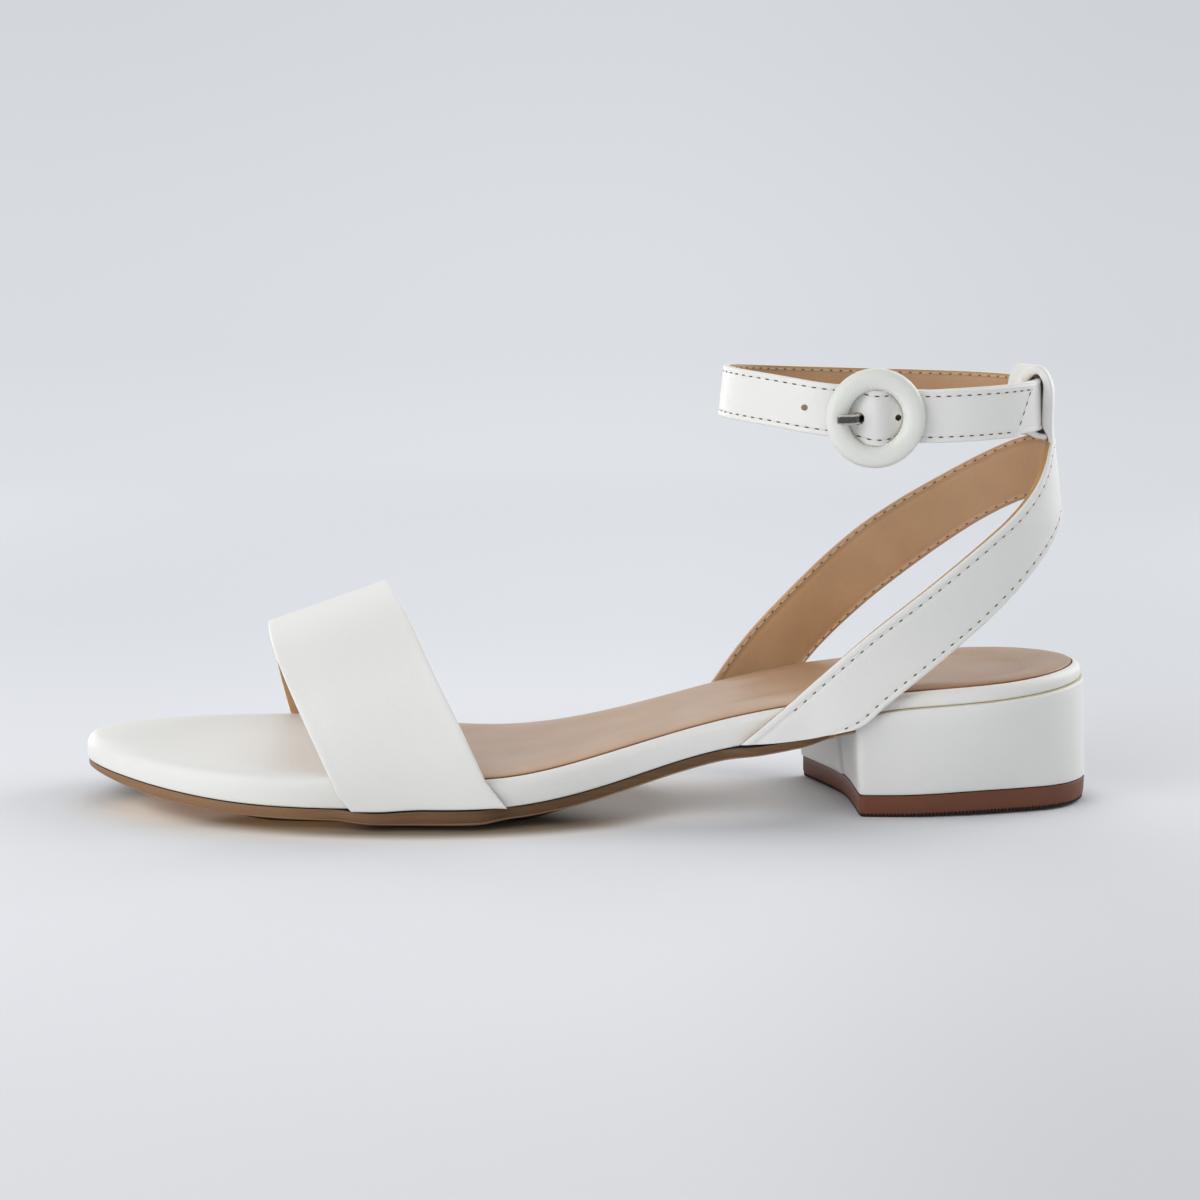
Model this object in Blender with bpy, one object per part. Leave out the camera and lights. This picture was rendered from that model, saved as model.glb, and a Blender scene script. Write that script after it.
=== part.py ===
"""White block-heel dress sandal for the left foot, built from its sewn and moulded pieces.

Sizes are in millimetres and become metres when a mesh is made. The toe points to -X,
the lateral side with the buckle faces -Y, and the shoe stands on z = 0.
"""
import math
from collections import namedtuple

import bmesh
import bpy
import numpy as np

MM = 0.001
FOOT_LENGTH = 250.0
ORIGIN = (-0.05, 0.94)
GAP = 0.3
STRAP_SLACK = 0.1

# Footbed sections: distance from the heel, half widths, underside and rim heights
Section = namedtuple("Section", "station lateral medial under rim")
LAST = [
    Section(10, 18.5, 18.2, 31.2, 34.9),
    Section(25, 26.8, 26.3, 29.9, 33.6),
    Section(45, 28.1, 27.7, 28.2, 31.9),
    Section(56, 27.7, 27.3, 26.7, 30.7),
    Section(70, 27.4, 26.3, 22.4, 29.0),
    Section(95, 26.8, 22.3, 17.2, 24.0),
    Section(120, 29.9, 23.2, 9.9, 17.2),
    Section(145, 36.2, 29.6, 5.5, 12.3),
    Section(165, 36.6, 35.0, 4.9, 11.9),
    Section(180, 37.0, 37.8, 5.2, 12.8),
    Section(195, 36.9, 39.0, 5.6, 13.6),
    Section(210, 34.0, 36.7, 6.2, 14.1),
    Section(225, 27.3, 31.8, 7.4, 14.7),
    Section(237, 18.3, 23.4, 8.6, 15.5),
]
HEEL_TIP = (FOOT_LENGTH / 2 - 1.2, 0.0)
TOE_TIP = (-FOOT_LENGTH / 2, 3.0)
TIP_ARC = 0.055
BOW_ROWS = 4

# Walls of the slabs from bottom to top: inset from the outline, and rise above a named level
Layer = namedtuple("Layer", "inset level rise")

# Footbed and the sock in its recess; the sock's front edge is (lateral x, medial x, bow)
FOOTBED_WALL = [
    Layer(1.2, "under", 0.0),
    Layer(0.2, "under", 0.7),
    Layer(0.0, "rim", -1.9),
    Layer(0.6, "rim", -0.7),
    Layer(1.8, "rim", -0.1),
]
LEDGE_INSET = 2.0
DISH_INSET = 7.0
HEEL_DISH = 1.2
DISH_SPAN = (60.0, 85.0)
TOE_CROWN = 0.8
TOE_CROWN_RUN = 15.0
RECESS_FRONT = -62.0
RECESS_RUN = 6.0
SOCK_RECESS = 1.5
SOCK_INSET = 2.3
SOCK_RISE = 1.0
SOCK_FRONT = (-52.0, -60.0, -3.0)
SOCK_WALL = [
    Layer(0.4, "seat", 0.0),
    Layer(0.0, "seat", 0.6),
    Layer(0.0, "rim", 0.1),
    Layer(1.0, "rim", 0.75),
]

# Outsole: thickness at the forefoot, heel end and toe, belly under the ball, flange under the straps
SOLE_THICKNESS = 3.0
SOLE_THIN_END = 1.3
SOLE_THIN_SPAN = (25.0, 60.0)
SOLE_TOE = 1.8
SOLE_TOE_SPAN = (-105.0, -125.0)
SOLE_SET_IN = 0.4
SOLE_BELLY = 2.7
BELLY_FRONT = (-115.0, -70.0)
BELLY_BACK = (-20.0, 20.0)
BELLY_INSET = 9.0
FOOT_INSET = 1.4
FOOT_ROUND = 0.5
SHOULDER_ROUND = 0.5
SEAT_INSET = 4.0
STRAP_TUCK = 0.9
STRAP_FLANGE = 2.2
TUCK_FRONT = (-5.0, 5.0)
TUCK_BACK = (-7.0, 2.0)

# Heel: breast corners at the floor as (lateral x, medial x, hollow), its forward lean, and the
# share by which the bottom is narrower than the seat, at the breast and at the back
BREAST = (65.2, 56.6, 3.6)
BREAST_LEAN = 1.9
BREAST_SWEEP = 0.9
LIFT_HEIGHT = 5.4
HEEL_PROUD = 1.1
HEEL_TAPER = 0.3
HEEL_NARROW = (0.155, 0.24)
HEEL_NARROW_SPAN = (75.0, 106.0)
HEEL_NARROW_HEIGHT = 21.0
HEEL_SWEEP_HEIGHT = 8.0
HEEL_EDGE = 0.5
HEEL_SHOULDER = [Layer(0.0, "under", -1.8), Layer(0.5, "under", -0.6), Layer(1.2, "under", -GAP)]
LIFT_WALL = [
    Layer(0.9, "floor", 0.0),
    Layer(0.3, "floor", 0.6),
    Layer(0.0, "floor", LIFT_HEIGHT - 0.3),
    Layer(0.3, "floor", LIFT_HEIGHT),
]

# Vamp strap: turn around the arch in degrees from its crown, front and back edges
VAMP_WALL = 1.8
VAMP_CROWN_Y = 3.0
VAMP_SQUARENESS = 2.2
VAMP_SPRING = (9.0, 12.0)
VAMP_CROWN = (43.0, 52.9)
VampRow = namedtuple("VampRow", "turn front back")
VAMP = [
    VampRow(-100, -57.0, -19.3),
    VampRow(-90, -60.1, -25.3),
    VampRow(-60, -68.7, -36.2),
    VampRow(-30, -76.0, -44.2),
    VampRow(0, -79.6, -49.8),
    VampRow(30, -80.9, -51.0),
    VampRow(60, -80.4, -50.0),
    VampRow(90, -76.6, -46.0),
    VampRow(100, -74.5, -43.0),
]

# Heel sling: distance along its plan from the back seam and height, for both edges
SLING_WALL = 2.0
SLING_CENTRE_X = 55.0
SLING_REACH = 62.2
SLING_HALF = (28.5, 26.5)
SLING_LEAN = 0.14
SLING_LEAN_FROM = 71.0
SLING_OVER_HEEL = (50.0, 62.0)
SLING_HUGS_TO = 110.0
SLING_LIFT = (22.0, 47.0)
SlingRow = namedtuple("SlingRow", "upper_at upper_z lower_at lower_z")
SLING = [
    SlingRow(-93.8, 18.3, -71.0, 22.0),
    SlingRow(-84.5, 26.5, -65.5, 23.4),
    SlingRow(-70.0, 39.7, -59.5, 28.0),
    SlingRow(-50.0, 55.7, -41.0, 42.0),
    SlingRow(-29.0, 71.2, -20.5, 58.4),
    SlingRow(-16.5, 80.5, -10.5, 67.3),
    SlingRow(-8.5, 87.3, -4.5, 72.2),
    SlingRow(0.0, 90.2, 2.5, 75.3),
    SlingRow(9.0, 90.3, 8.5, 75.8),
    SlingRow(18.0, 88.3, 15.0, 74.0),
    SlingRow(35.0, 80.1, 27.0, 67.4),
    SlingRow(56.0, 66.6, 45.0, 53.8),
    SlingRow(76.5, 46.9, 60.5, 39.9),
    SlingRow(88.0, 33.6, 69.5, 29.5),
    SlingRow(98.5, 18.2, 74.5, 22.1),
]

# Ankle strap: centre line from the buckle round the ankle and back to it
ANKLE_WALL = 1.6
ANKLE_WIDTH = 12.3
ANKLE_LEAN = 0.09
ANKLE_SLANT = 4.4
ANKLE_SLANT_RUN = 10.0
AnkleRow = namedtuple("AnkleRow", "x y z")
ANKLE = [
    AnkleRow(88.0, -21.0, 98.0),
    AnkleRow(99.0, -17.2, 98.6),
    AnkleRow(107.5, -9.5, 99.2),
    AnkleRow(111.2, 0.5, 99.5),
    AnkleRow(107.5, 10.5, 99.7),
    AnkleRow(97.0, 18.8, 99.9),
    AnkleRow(80.0, 23.0, 100.1),
    AnkleRow(60.0, 22.5, 100.5),
    AnkleRow(44.0, 16.5, 101.2),
    AnkleRow(35.0, 8.0, 101.8),
    AnkleRow(32.4, 0.0, 101.9),
    AnkleRow(35.2, -8.0, 101.5),
    AnkleRow(45.0, -17.5, 100.4),
]
TAIL_ROWS = 2
TAIL_DROP = 0.2
TAIL_TIP = AnkleRow(105.3, -14.8, 98.7)
STEP_LENGTH = 6.0
STEP_TURN = 14.0
FOLD_END = 13.0
FOLD_SLACK = 0.1
RISE_AT_RIM = 1.3
RISE_AT_SHOULDER = 0.7
SHOULDER = 4.6

# Buckle: a covered ring, the bar behind it and the prong through the strap
RING_CENTRE = (66.8, -24.4, 97.5)
RING_OUTER = 12.0
RING_INNER = 7.0
RING_HEIGHT = 3.4
BAR_RADIUS = 0.8
BAR_LENGTH = 18.4
BAR_DEPTH = 3.4
FOLD_PLAY = 0.55
PRONG_RADIUS = 1.05
PRONG_PLAY = 0.35
HOLE_RADIUS = 1.0
HOLE_X = (50.2, 72.4)
BORE_DEPTHS = (-3.0, 1.5)
OUTER_RUN_FROM = 0.62
RingRow = namedtuple("RingRow", "radius height")
RING_PROFILE = [
    RingRow(RING_INNER + 0.9, 0.0),
    RingRow(RING_OUTER - 0.6, 0.0),
    RingRow(RING_OUTER, 0.8),
    RingRow(RING_OUTER - 0.7, 2.3),
    RingRow(RING_OUTER - 2.2, RING_HEIGHT),
    RingRow(RING_INNER + 1.2, 2.9),
    RingRow(RING_INNER, 1.3),
]
RING_STEPS = 36
# Bar and prong: points from the ring's centre, ahead towards the toe and out from the ring's back
BarRow = namedtuple("BarRow", "up out")
BAR_HALF = [
    BarRow(BAR_LENGTH / 2 + 0.4, -GAP),
    BarRow(BAR_LENGTH / 2, 0.8 - BAR_DEPTH),
    BarRow(BAR_LENGTH / 2 - 0.9, -BAR_DEPTH),
]
ProngRow = namedtuple("ProngRow", "ahead out")
PRONG = [
    ProngRow(BAR_RADIUS + PRONG_RADIUS + 0.2, 0.6 - BAR_DEPTH),
    ProngRow(3.9, -0.2),
    ProngRow(RING_INNER - 0.7, RING_HEIGHT + PRONG_RADIUS - 0.8),
    ProngRow(RING_INNER + 2.6, RING_HEIGHT + PRONG_RADIUS + GAP),
]
PRONG_DROP = 0.2

# Back loop: outline of the folded tab above the sling, as height and forward distance
LOOP_WALL = 1.5
LOOP_BASE = 92.0
LOOP_FROM = -7.0
LOOP_TO = 8.5
LoopRow = namedtuple("LoopRow", "ahead z")
LOOP = [
    LoopRow(-0.2, 91.7),
    LoopRow(-0.9, 96.0),
    LoopRow(-0.6, 102.0),
    LoopRow(0.8, 106.6),
    LoopRow(3.4, 108.4),
    LoopRow(6.2, 106.8),
    LoopRow(7.1, 103.0),
    LoopRow(6.7, 97.6),
    LoopRow(5.6, 93.7),
    LoopRow(3.6, 91.9),
    LoopRow(2.0, 91.9),
]

Finish = namedtuple("Finish", "colour roughness metallic")
WHITE_LEATHER = Finish((0.84, 0.84, 0.82), 0.48, 0.0)
TAN_SOCK = Finish((0.50, 0.33, 0.22), 0.5, 0.0)
BROWN_SOLE = Finish((0.27, 0.17, 0.09), 0.55, 0.0)
RED_BROWN_LIFT = Finish((0.16, 0.07, 0.045), 0.5, 0.0)
POLISHED_METAL = Finish((0.56, 0.56, 0.55), 0.25, 1.0)


def spline(knots, values):
    """Natural cubic spline through rows of values, as a function of the knot parameter."""
    x = np.asarray(knots, float)
    y = np.asarray(values, float)
    count = len(x)
    step = np.diff(x)
    slope = np.diff(y, axis=0) / step.reshape((-1,) + (1,) * (y.ndim - 1))
    matrix = np.eye(count)
    right = np.zeros_like(y)
    for i in range(1, count - 1):
        matrix[i, i - 1:i + 2] = step[i - 1], 2 * (step[i - 1] + step[i]), step[i]
        right[i] = 6 * (slope[i] - slope[i - 1])
    bend = np.linalg.solve(matrix, right)

    def at(t):
        t = np.asarray(t, float)
        i = np.clip(np.searchsorted(x, t) - 1, 0, count - 2)
        shape = t.shape + (1,) * (y.ndim - 1)
        h = step[i].reshape(shape)
        a = ((x[i + 1] - t) / step[i]).reshape(shape)
        b = 1 - a
        curve = (a ** 3 - a) * bend[i] + (b ** 3 - b) * bend[i + 1]
        return a * y[i] + b * y[i + 1] + curve * h * h / 6

    return at


def chord_lengths(points):
    """Running length along a row of points."""
    steps = np.linalg.norm(np.diff(np.asarray(points, float), axis=0), axis=1)
    return np.concatenate([[0.0], np.cumsum(steps)])


def smooth_step(low, high, value):
    """0 below low, 1 above high and a smooth rise between."""
    t = np.clip((np.asarray(value, float) - low) / (high - low), 0, 1)
    return t * t * (3 - 2 * t)


def unit(vectors):
    """Vectors scaled to length 1."""
    return vectors / np.linalg.norm(vectors, axis=-1, keepdims=True)


STATION_X = np.array([FOOT_LENGTH / 2 - row.station for row in LAST])[::-1]
under_spline = spline(STATION_X, [row.under for row in LAST][::-1])
rim_spline = spline(STATION_X, [row.rim for row in LAST][::-1])


def under(x):
    """Height of the footbed's underside."""
    return under_spline(x)


def rim(x):
    """Height of the footbed's rim."""
    return rim_spline(x)


def level_height(level, x):
    """Height at x of one of the levels that a wall layer can start from."""
    if level == "floor":
        return np.zeros_like(x)
    if level == "under":
        return under(x)
    return rim(x) - (SOCK_RECESS - GAP if level == "seat" else 0.0)


def closed_outline(samples=4001):
    """The footbed's outline, from the heel tip along the lateral side and back, with its toe index."""
    lateral = [(FOOT_LENGTH / 2 - row.station, -row.lateral) for row in LAST]
    medial = [(FOOT_LENGTH / 2 - row.station, row.medial) for row in reversed(LAST)]
    ring = [HEEL_TIP] + lateral + [TOE_TIP] + medial
    wrap = 4
    around = ring[-wrap:] + ring + ring[:wrap + 1]
    knots = chord_lengths(around)
    curve = spline(knots, around)
    points = curve(np.linspace(knots[wrap], knots[wrap + len(ring)], samples))
    toe = knots[wrap + len(lateral) + 1]
    toe_index = int(round((toe - knots[wrap]) / (knots[wrap + len(ring)] - knots[wrap]) * (samples - 1)))
    return points, toe_index


OUTLINE, TOE_INDEX = closed_outline()
SIDES = {-1: OUTLINE[:TOE_INDEX + 1], 1: OUTLINE[TOE_INDEX:][::-1]}
SIDE_LENGTHS = {side: chord_lengths(points) for side, points in SIDES.items()}


def edge_point(side, fraction, grow=0.0):
    """Outline point at a fraction of the way from heel tip to toe tip, pushed outward by grow."""
    points = SIDES[side]
    run = SIDE_LENGTHS[side] / SIDE_LENGTHS[side][-1]
    place = np.array([np.interp(fraction, run, points[:, k]) for k in range(2)])
    ahead = np.array([np.interp(fraction + 0.002, run, points[:, k]) for k in range(2)])
    behind = np.array([np.interp(fraction - 0.002, run, points[:, k]) for k in range(2)])
    along = unit(ahead - behind)
    outward = side * np.array([along[1], -along[0]])
    return place + outward * (grow(place[0], side) if callable(grow) else grow)


def edge_fraction(side, x):
    """Fraction of the way along a side where the outline passes x."""
    run = SIDE_LENGTHS[side] / SIDE_LENGTHS[side][-1]
    return float(np.interp(-x, -SIDES[side][:, 0], run))


def edge_y(side, x):
    """Half width of the outline at x, on one side."""
    points = SIDES[side][::-1]
    return np.interp(x, points[:, 0], points[:, 1]) * side


def end_row(kind, fractions, cols, grow):
    """First or last row of a plan grid: the round tip, or a cut with a bow."""
    t = np.linspace(0, 1, cols + 1)
    if kind is None:
        turn = 2 * t - 1
        tip = 0.0 if fractions[-1] < 0.5 else 1.0
        row = []
        for g in turn:
            side = -1 if g < 0 else 1
            row.append(edge_point(side, tip + (fractions[side] - tip) * abs(g), grow))
        return np.array(row)
    ends = [edge_point(side, fractions[side], grow) for side in (-1, 1)]
    row = ends[0] + t[:, None] * (ends[1] - ends[0])
    row[:, 0] += kind[2] * 4 * t * (1 - t)
    return row


def plan_grid(heel_end, toe_end, rows, cols, grow=0.0):
    """Plan points in rows across the outline; an end is None for the tip or (x, x, bow) for a cut."""
    ends = []
    for kind, tip in ((heel_end, 0.0), (toe_end, 1.0)):
        if kind is None:
            fraction = abs(tip - TIP_ARC)
            ends.append({-1: fraction, 1: fraction})
        else:
            ends.append({-1: edge_fraction(-1, kind[0]), 1: edge_fraction(1, kind[1])})
    t = np.linspace(0, 1, cols + 1)[:, None]
    grid = np.zeros((rows + 1, cols + 1, 2))
    for k in range(rows + 1):
        f = k / rows
        sides = [edge_point(s, ends[0][s] + (ends[1][s] - ends[0][s]) * f, grow) for s in (-1, 1)]
        grid[k] = sides[0] + t * (sides[1] - sides[0])
    for k, kind, fractions, step in ((0, heel_end, ends[0], 1), (rows, toe_end, ends[1], -1)):
        bow = end_row(kind, fractions, cols, grow) - grid[k]
        for back in range(BOW_ROWS):
            grid[k + back * step] += bow * (1 - back / BOW_ROWS) ** 2
    return grid


def boundary(grid):
    """Closed loop around a grid of points."""
    return np.concatenate([grid[0], grid[1:, -1], grid[-1, -2::-1], grid[-2:0:-1, 0]])


def with_boundary(grid, loop):
    """The same grid with its edge moved to loop and its rows stretched to fit."""
    rows, cols = grid.shape[:2]
    out = grid.copy()
    out[0] = loop[:cols]
    out[1:, -1] = loop[cols:cols + rows - 1]
    out[-1, -2::-1] = loop[cols + rows - 1:2 * cols + rows - 2]
    out[-2:0:-1, 0] = loop[2 * cols + rows - 2:]
    t = np.linspace(0, 1, cols)[:, None]
    for k in range(1, rows - 1):
        bow = grid[k] - (grid[k, 0] + t * (grid[k, -1] - grid[k, 0]))
        row = out[k, 0] + t * (out[k, -1] - out[k, 0]) + bow
        out[k, 1:-1] = row[1:-1]
    return out


def shrink(grid, inset):
    """Plan grid with its edge moved inward by inset."""
    loop = boundary(grid)
    before = unit(loop - np.roll(loop, 1, axis=0))
    after = np.roll(before, -1, axis=0)
    left = [np.stack([-v[:, 1], v[:, 0]], axis=1) for v in (before, after)]
    miter = (left[0] + left[1]) / (1 + np.sum(left[0] * left[1], axis=1, keepdims=True))
    return with_boundary(grid, loop + miter * inset)


def finish_mesh(name, points, faces, finish):
    """Closed mesh object with outward faces, smooth shading and its own material."""
    mesh = bpy.data.meshes.new(name)
    shift = np.array([ORIGIN[0], ORIGIN[1], 0.0])
    mesh.from_pydata(((np.asarray(points) - shift) * MM).tolist(), [], faces)
    work = bmesh.new()
    work.from_mesh(mesh)
    bmesh.ops.recalc_face_normals(work, faces=work.faces)
    work.to_mesh(mesh)
    work.free()
    mesh.shade_smooth()
    mesh.set_sharp_from_angle(angle=math.radians(40))
    material = bpy.data.materials.new(name)
    material.use_nodes = True
    shader = material.node_tree.nodes["Principled BSDF"]
    shader.inputs["Base Color"].default_value = (*finish.colour, 1.0)
    shader.inputs["Roughness"].default_value = finish.roughness
    shader.inputs["Metallic"].default_value = finish.metallic
    mesh.materials.append(material)
    piece = bpy.data.objects.new(name, mesh)
    bpy.context.scene.collection.objects.link(piece)
    return piece


def grid_quads(index):
    """Quads of a grid of vertex numbers."""
    rows, cols = index.shape
    return [
        (index[r, c], index[r, c + 1], index[r + 1, c + 1], index[r + 1, c])
        for r in range(rows - 1) for c in range(cols - 1)
    ]


def loop_quads(low, high):
    """Quads between two closed loops of vertex numbers."""
    count = len(low)
    return [(low[i], low[(i + 1) % count], high[(i + 1) % count], high[i]) for i in range(count)]


def slab(name, layers, finish):
    """Closed solid through plan layers from bottom to top, each a grid and its heights."""
    points = []
    loops = []
    faces = []
    for k, (grid, heights) in enumerate(layers):
        solid = np.dstack([grid, heights])
        start = len(points)
        if k in (0, len(layers) - 1):
            index = start + np.arange(solid.shape[0] * solid.shape[1]).reshape(solid.shape[:2])
            points.extend(solid.reshape(-1, 3))
            loops.append(boundary(index))
            faces.extend(grid_quads(index) if k else [quad[::-1] for quad in grid_quads(index)])
        else:
            loop = boundary(solid)
            points.extend(loop)
            loops.append(np.arange(start, start + len(loop)))
    for low, high in zip(loops, loops[1:]):
        faces.extend(loop_quads(low, high))
    return finish_mesh(name, points, faces, finish)


def directions(surface, axis):
    """Direction of a grid's lines at each point, the mean of the steps on both sides."""
    steps = unit(np.diff(surface, axis=axis))
    first = np.take(steps, [0], axis=axis)
    last = np.take(steps, [-1], axis=axis)
    return unit(np.concatenate([first, steps], axis=axis) + np.concatenate([steps, last], axis=axis))


def band(name, surface, wall, finish, edge_round=0.3):
    """Strap of even wall on a grid of mid surface points, with rounded edges."""
    normal = unit(np.cross(directions(surface, 0), directions(surface, 1)))
    rows, cols = surface.shape[:2]
    outward = np.zeros_like(surface)
    outward[0] += unit(surface[0] - surface[1])
    outward[-1] += unit(surface[-1] - surface[-2])
    outward[:, 0] += unit(surface[:, 0] - surface[:, 1])
    outward[:, -1] += unit(surface[:, -1] - surface[:, -2])
    rim_loop = boundary(surface + outward * wall * edge_round)
    index = np.arange(rows * cols).reshape(rows, cols)
    points = np.concatenate([
        (surface + normal * wall / 2).reshape(-1, 3),
        (surface - normal * wall / 2).reshape(-1, 3),
        rim_loop,
    ])
    top = boundary(index)
    rim_index = 2 * rows * cols + np.arange(len(rim_loop))
    faces = [quad[::-1] for quad in grid_quads(index)] + grid_quads(index + rows * cols)
    faces += loop_quads(top, rim_index) + loop_quads(rim_index, top + rows * cols)
    return finish_mesh(name, points, faces, finish)


def tube(name, path, radius, sides, finish):
    """Closed round rod along a path."""
    path = np.asarray(path, float)
    along = unit(np.gradient(path, axis=0))
    helper = np.array([0.0, 0.0, 1.0]) if abs(along[0, 2]) < 0.9 else np.array([1.0, 0.0, 0.0])
    side = unit(np.cross(along, helper))
    up = np.cross(side, along)
    angles = np.linspace(0, 2 * math.pi, sides, endpoint=False)
    rings = [centre + radius * (np.outer(np.cos(angles), s) + np.outer(np.sin(angles), u))
             for centre, s, u in zip(path, side, up)]
    faces = []
    for k in range(len(path) - 1):
        low = np.arange(sides) + k * sides
        faces.extend(loop_quads(low, low + sides))
    faces.append(tuple(range(sides))[::-1])
    faces.append(tuple(np.arange(sides) + (len(path) - 1) * sides))
    return finish_mesh(name, np.concatenate(rings), faces, finish)


def cut(piece, cutters):
    """Boolean cuts through a piece; the cutters stay as hidden wire objects."""
    for cutter in cutters:
        cutter.hide_render = True
        cutter.display_type = "WIRE"
        modifier = piece.modifiers.new("cut", "BOOLEAN")
        modifier.operation = "DIFFERENCE"
        modifier.solver = "EXACT"
        modifier.object = cutter


def strap_zone(x, side):
    """1 where a strap tucks in above the outsole, 0 elsewhere, smooth between."""
    vamp_end = VAMP[0] if side < 0 else VAMP[-1]
    sling_end = SLING[0] if side < 0 else SLING[-1]
    sling_front = sling_plan(sling_end.upper_at, sling_end.upper_z)[0]
    sling_back = sling_plan(sling_end.lower_at, sling_end.lower_z)[0]
    zone = 0.0
    for front, back in ((vamp_end.front, vamp_end.back), (sling_front, sling_back)):
        starts = smooth_step(front + TUCK_FRONT[0], front + TUCK_FRONT[1], x)
        ends = smooth_step(back + TUCK_BACK[0], back + TUCK_BACK[1], x)
        zone = zone + starts * (1 - ends)
    return zone


def sole_flange(x, side):
    """Width of the outsole beyond the footbed, more under the straps."""
    return (STRAP_FLANGE + SOLE_SET_IN) * strap_zone(x, side) - SOLE_SET_IN


def tuck(grid):
    """How far the outsole's rim is pressed down under the straps."""
    zone = np.vectorize(lambda x, y: strap_zone(x, -1 if y < 0 else 1))
    return STRAP_TUCK * zone(grid[..., 0], grid[..., 1])


def wall_layers(base, wall):
    """Slab layers that follow a table of insets and heights."""
    layers = []
    for inset, level, rise in wall:
        grid = shrink(base, inset)
        layers.append((grid, level_height(level, grid[..., 0]) + rise))
    return layers


def heel_dish(grid):
    """How far the seat is hollowed at the heel."""
    return HEEL_DISH * smooth_step(*DISH_SPAN, grid[..., 0])


def make_footbed():
    """White wrapped footbed with rounded rim and a shallow recess for the sock."""
    base = plan_grid(None, None, rows=36, cols=6)

    def seat(grid):
        x = grid[..., 0]
        recess = smooth_step(RECESS_FRONT, RECESS_FRONT + RECESS_RUN, x)
        crown = smooth_step(RECESS_FRONT, RECESS_FRONT - TOE_CROWN_RUN, x)
        return rim(x) - SOCK_RECESS * recess + TOE_CROWN * crown

    ledge = shrink(base, LEDGE_INSET)
    middle = shrink(base, DISH_INSET)
    layers = wall_layers(base, FOOTBED_WALL)
    layers.append((ledge, seat(ledge)))
    layers.append((middle, seat(middle) - heel_dish(middle)))
    return slab("footbed", layers, WHITE_LEATHER)


def make_sock():
    """Padded tan sock lying in the footbed's recess."""
    base = shrink(plan_grid(None, SOCK_FRONT, rows=30, cols=6), SOCK_INSET)
    inner = shrink(base, DISH_INSET - SOCK_INSET)
    x = inner[..., 0]
    bottom = (inner, level_height("seat", x) - heel_dish(inner))
    top = (inner, rim(x) + SOCK_RISE - heel_dish(inner))
    return slab("insole_sock", [bottom] + wall_layers(base, SOCK_WALL) + [top], TAN_SOCK)


def breast(lean):
    """Heel breast as a cut across the outline, leaning forward by lean."""
    return (BREAST[0] - lean, BREAST[1] - lean, BREAST[2])


def make_outsole():
    """Brown outsole from the toe to the heel breast, with a flat forefoot spot and strap flanges."""
    heel_cut = breast(BREAST_LEAN + 2 * GAP)
    base = plan_grid(heel_cut, None, rows=38, cols=6, grow=sole_flange)

    def top(grid):
        return under(grid[..., 0]) - GAP

    def bottom(grid):
        x = grid[..., 0]
        to_heel = (SOLE_THIN_END - SOLE_THICKNESS) * smooth_step(*SOLE_THIN_SPAN, x)
        to_toe = (SOLE_TOE - SOLE_THICKNESS) * (1 - smooth_step(*SOLE_TOE_SPAN[::-1], x))
        return top(grid) - SOLE_THICKNESS - to_heel - to_toe

    def belly(grid):
        x = grid[..., 0]
        bulge = smooth_step(*BELLY_FRONT, x) * (1 - smooth_step(*BELLY_BACK, x))
        return np.maximum(bottom(grid) - SOLE_BELLY * bulge, 0.0)

    def rim_bottom(grid):
        return np.maximum(bottom(grid) - tuck(grid), belly(grid))

    sunk = shrink(base, BELLY_INSET)
    foot = shrink(base, FOOT_INSET)
    shoulder = shrink(base, SHOULDER_ROUND)
    inner = shrink(base, SEAT_INSET)
    layers = [
        (sunk, belly(sunk)),
        (foot, rim_bottom(foot)),
        (base, rim_bottom(base) + FOOT_ROUND),
        (base, top(base) - tuck(base) - SHOULDER_ROUND / 2),
        (shoulder, top(shoulder) - tuck(shoulder)),
        (inner, top(inner)),
    ]
    return slab("outsole", layers, BROWN_SOLE)


def heel_layer(lean, inset, height, rows=11, cols=8):
    """Plan grid of the heel at a height over its lift: breast leaning by lean, walls set in by inset."""
    grid = shrink(heel_rows(breast(lean), rows, cols), inset)
    breast_share, back_share = HEEL_NARROW
    narrow = breast_share + (back_share - breast_share) * smooth_step(*HEEL_NARROW_SPAN, grid[..., 0])
    grid[..., 1] *= 1 - narrow * max(1 - height / HEEL_NARROW_HEIGHT, 0.0)
    return grid


def heel_rows(cut_line, rows, cols):
    """Plan grid between the heel breast and the heel tip."""
    ends = {s: edge_fraction(s, cut_line[0] if s < 0 else cut_line[1]) for s in (-1, 1)}
    t = np.linspace(0, 1, cols + 1)[:, None]
    grid = np.zeros((rows + 1, cols + 1, 2))
    for k in range(rows + 1):
        f = k / rows
        sides = [edge_point(s, TIP_ARC + (ends[s] - TIP_ARC) * f, HEEL_PROUD) for s in (-1, 1)]
        grid[k] = sides[0] + t * (sides[1] - sides[0])
    tip_bow = end_row(None, {-1: TIP_ARC, 1: TIP_ARC}, cols, HEEL_PROUD) - grid[0]
    cut_bow = end_row(cut_line, ends, cols, HEEL_PROUD) - grid[rows]
    for back in range(BOW_ROWS):
        fade = (1 - back / BOW_ROWS) ** 2
        grid[back] += tip_bow * fade
        grid[rows - back] += cut_bow * fade
    return grid


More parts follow.
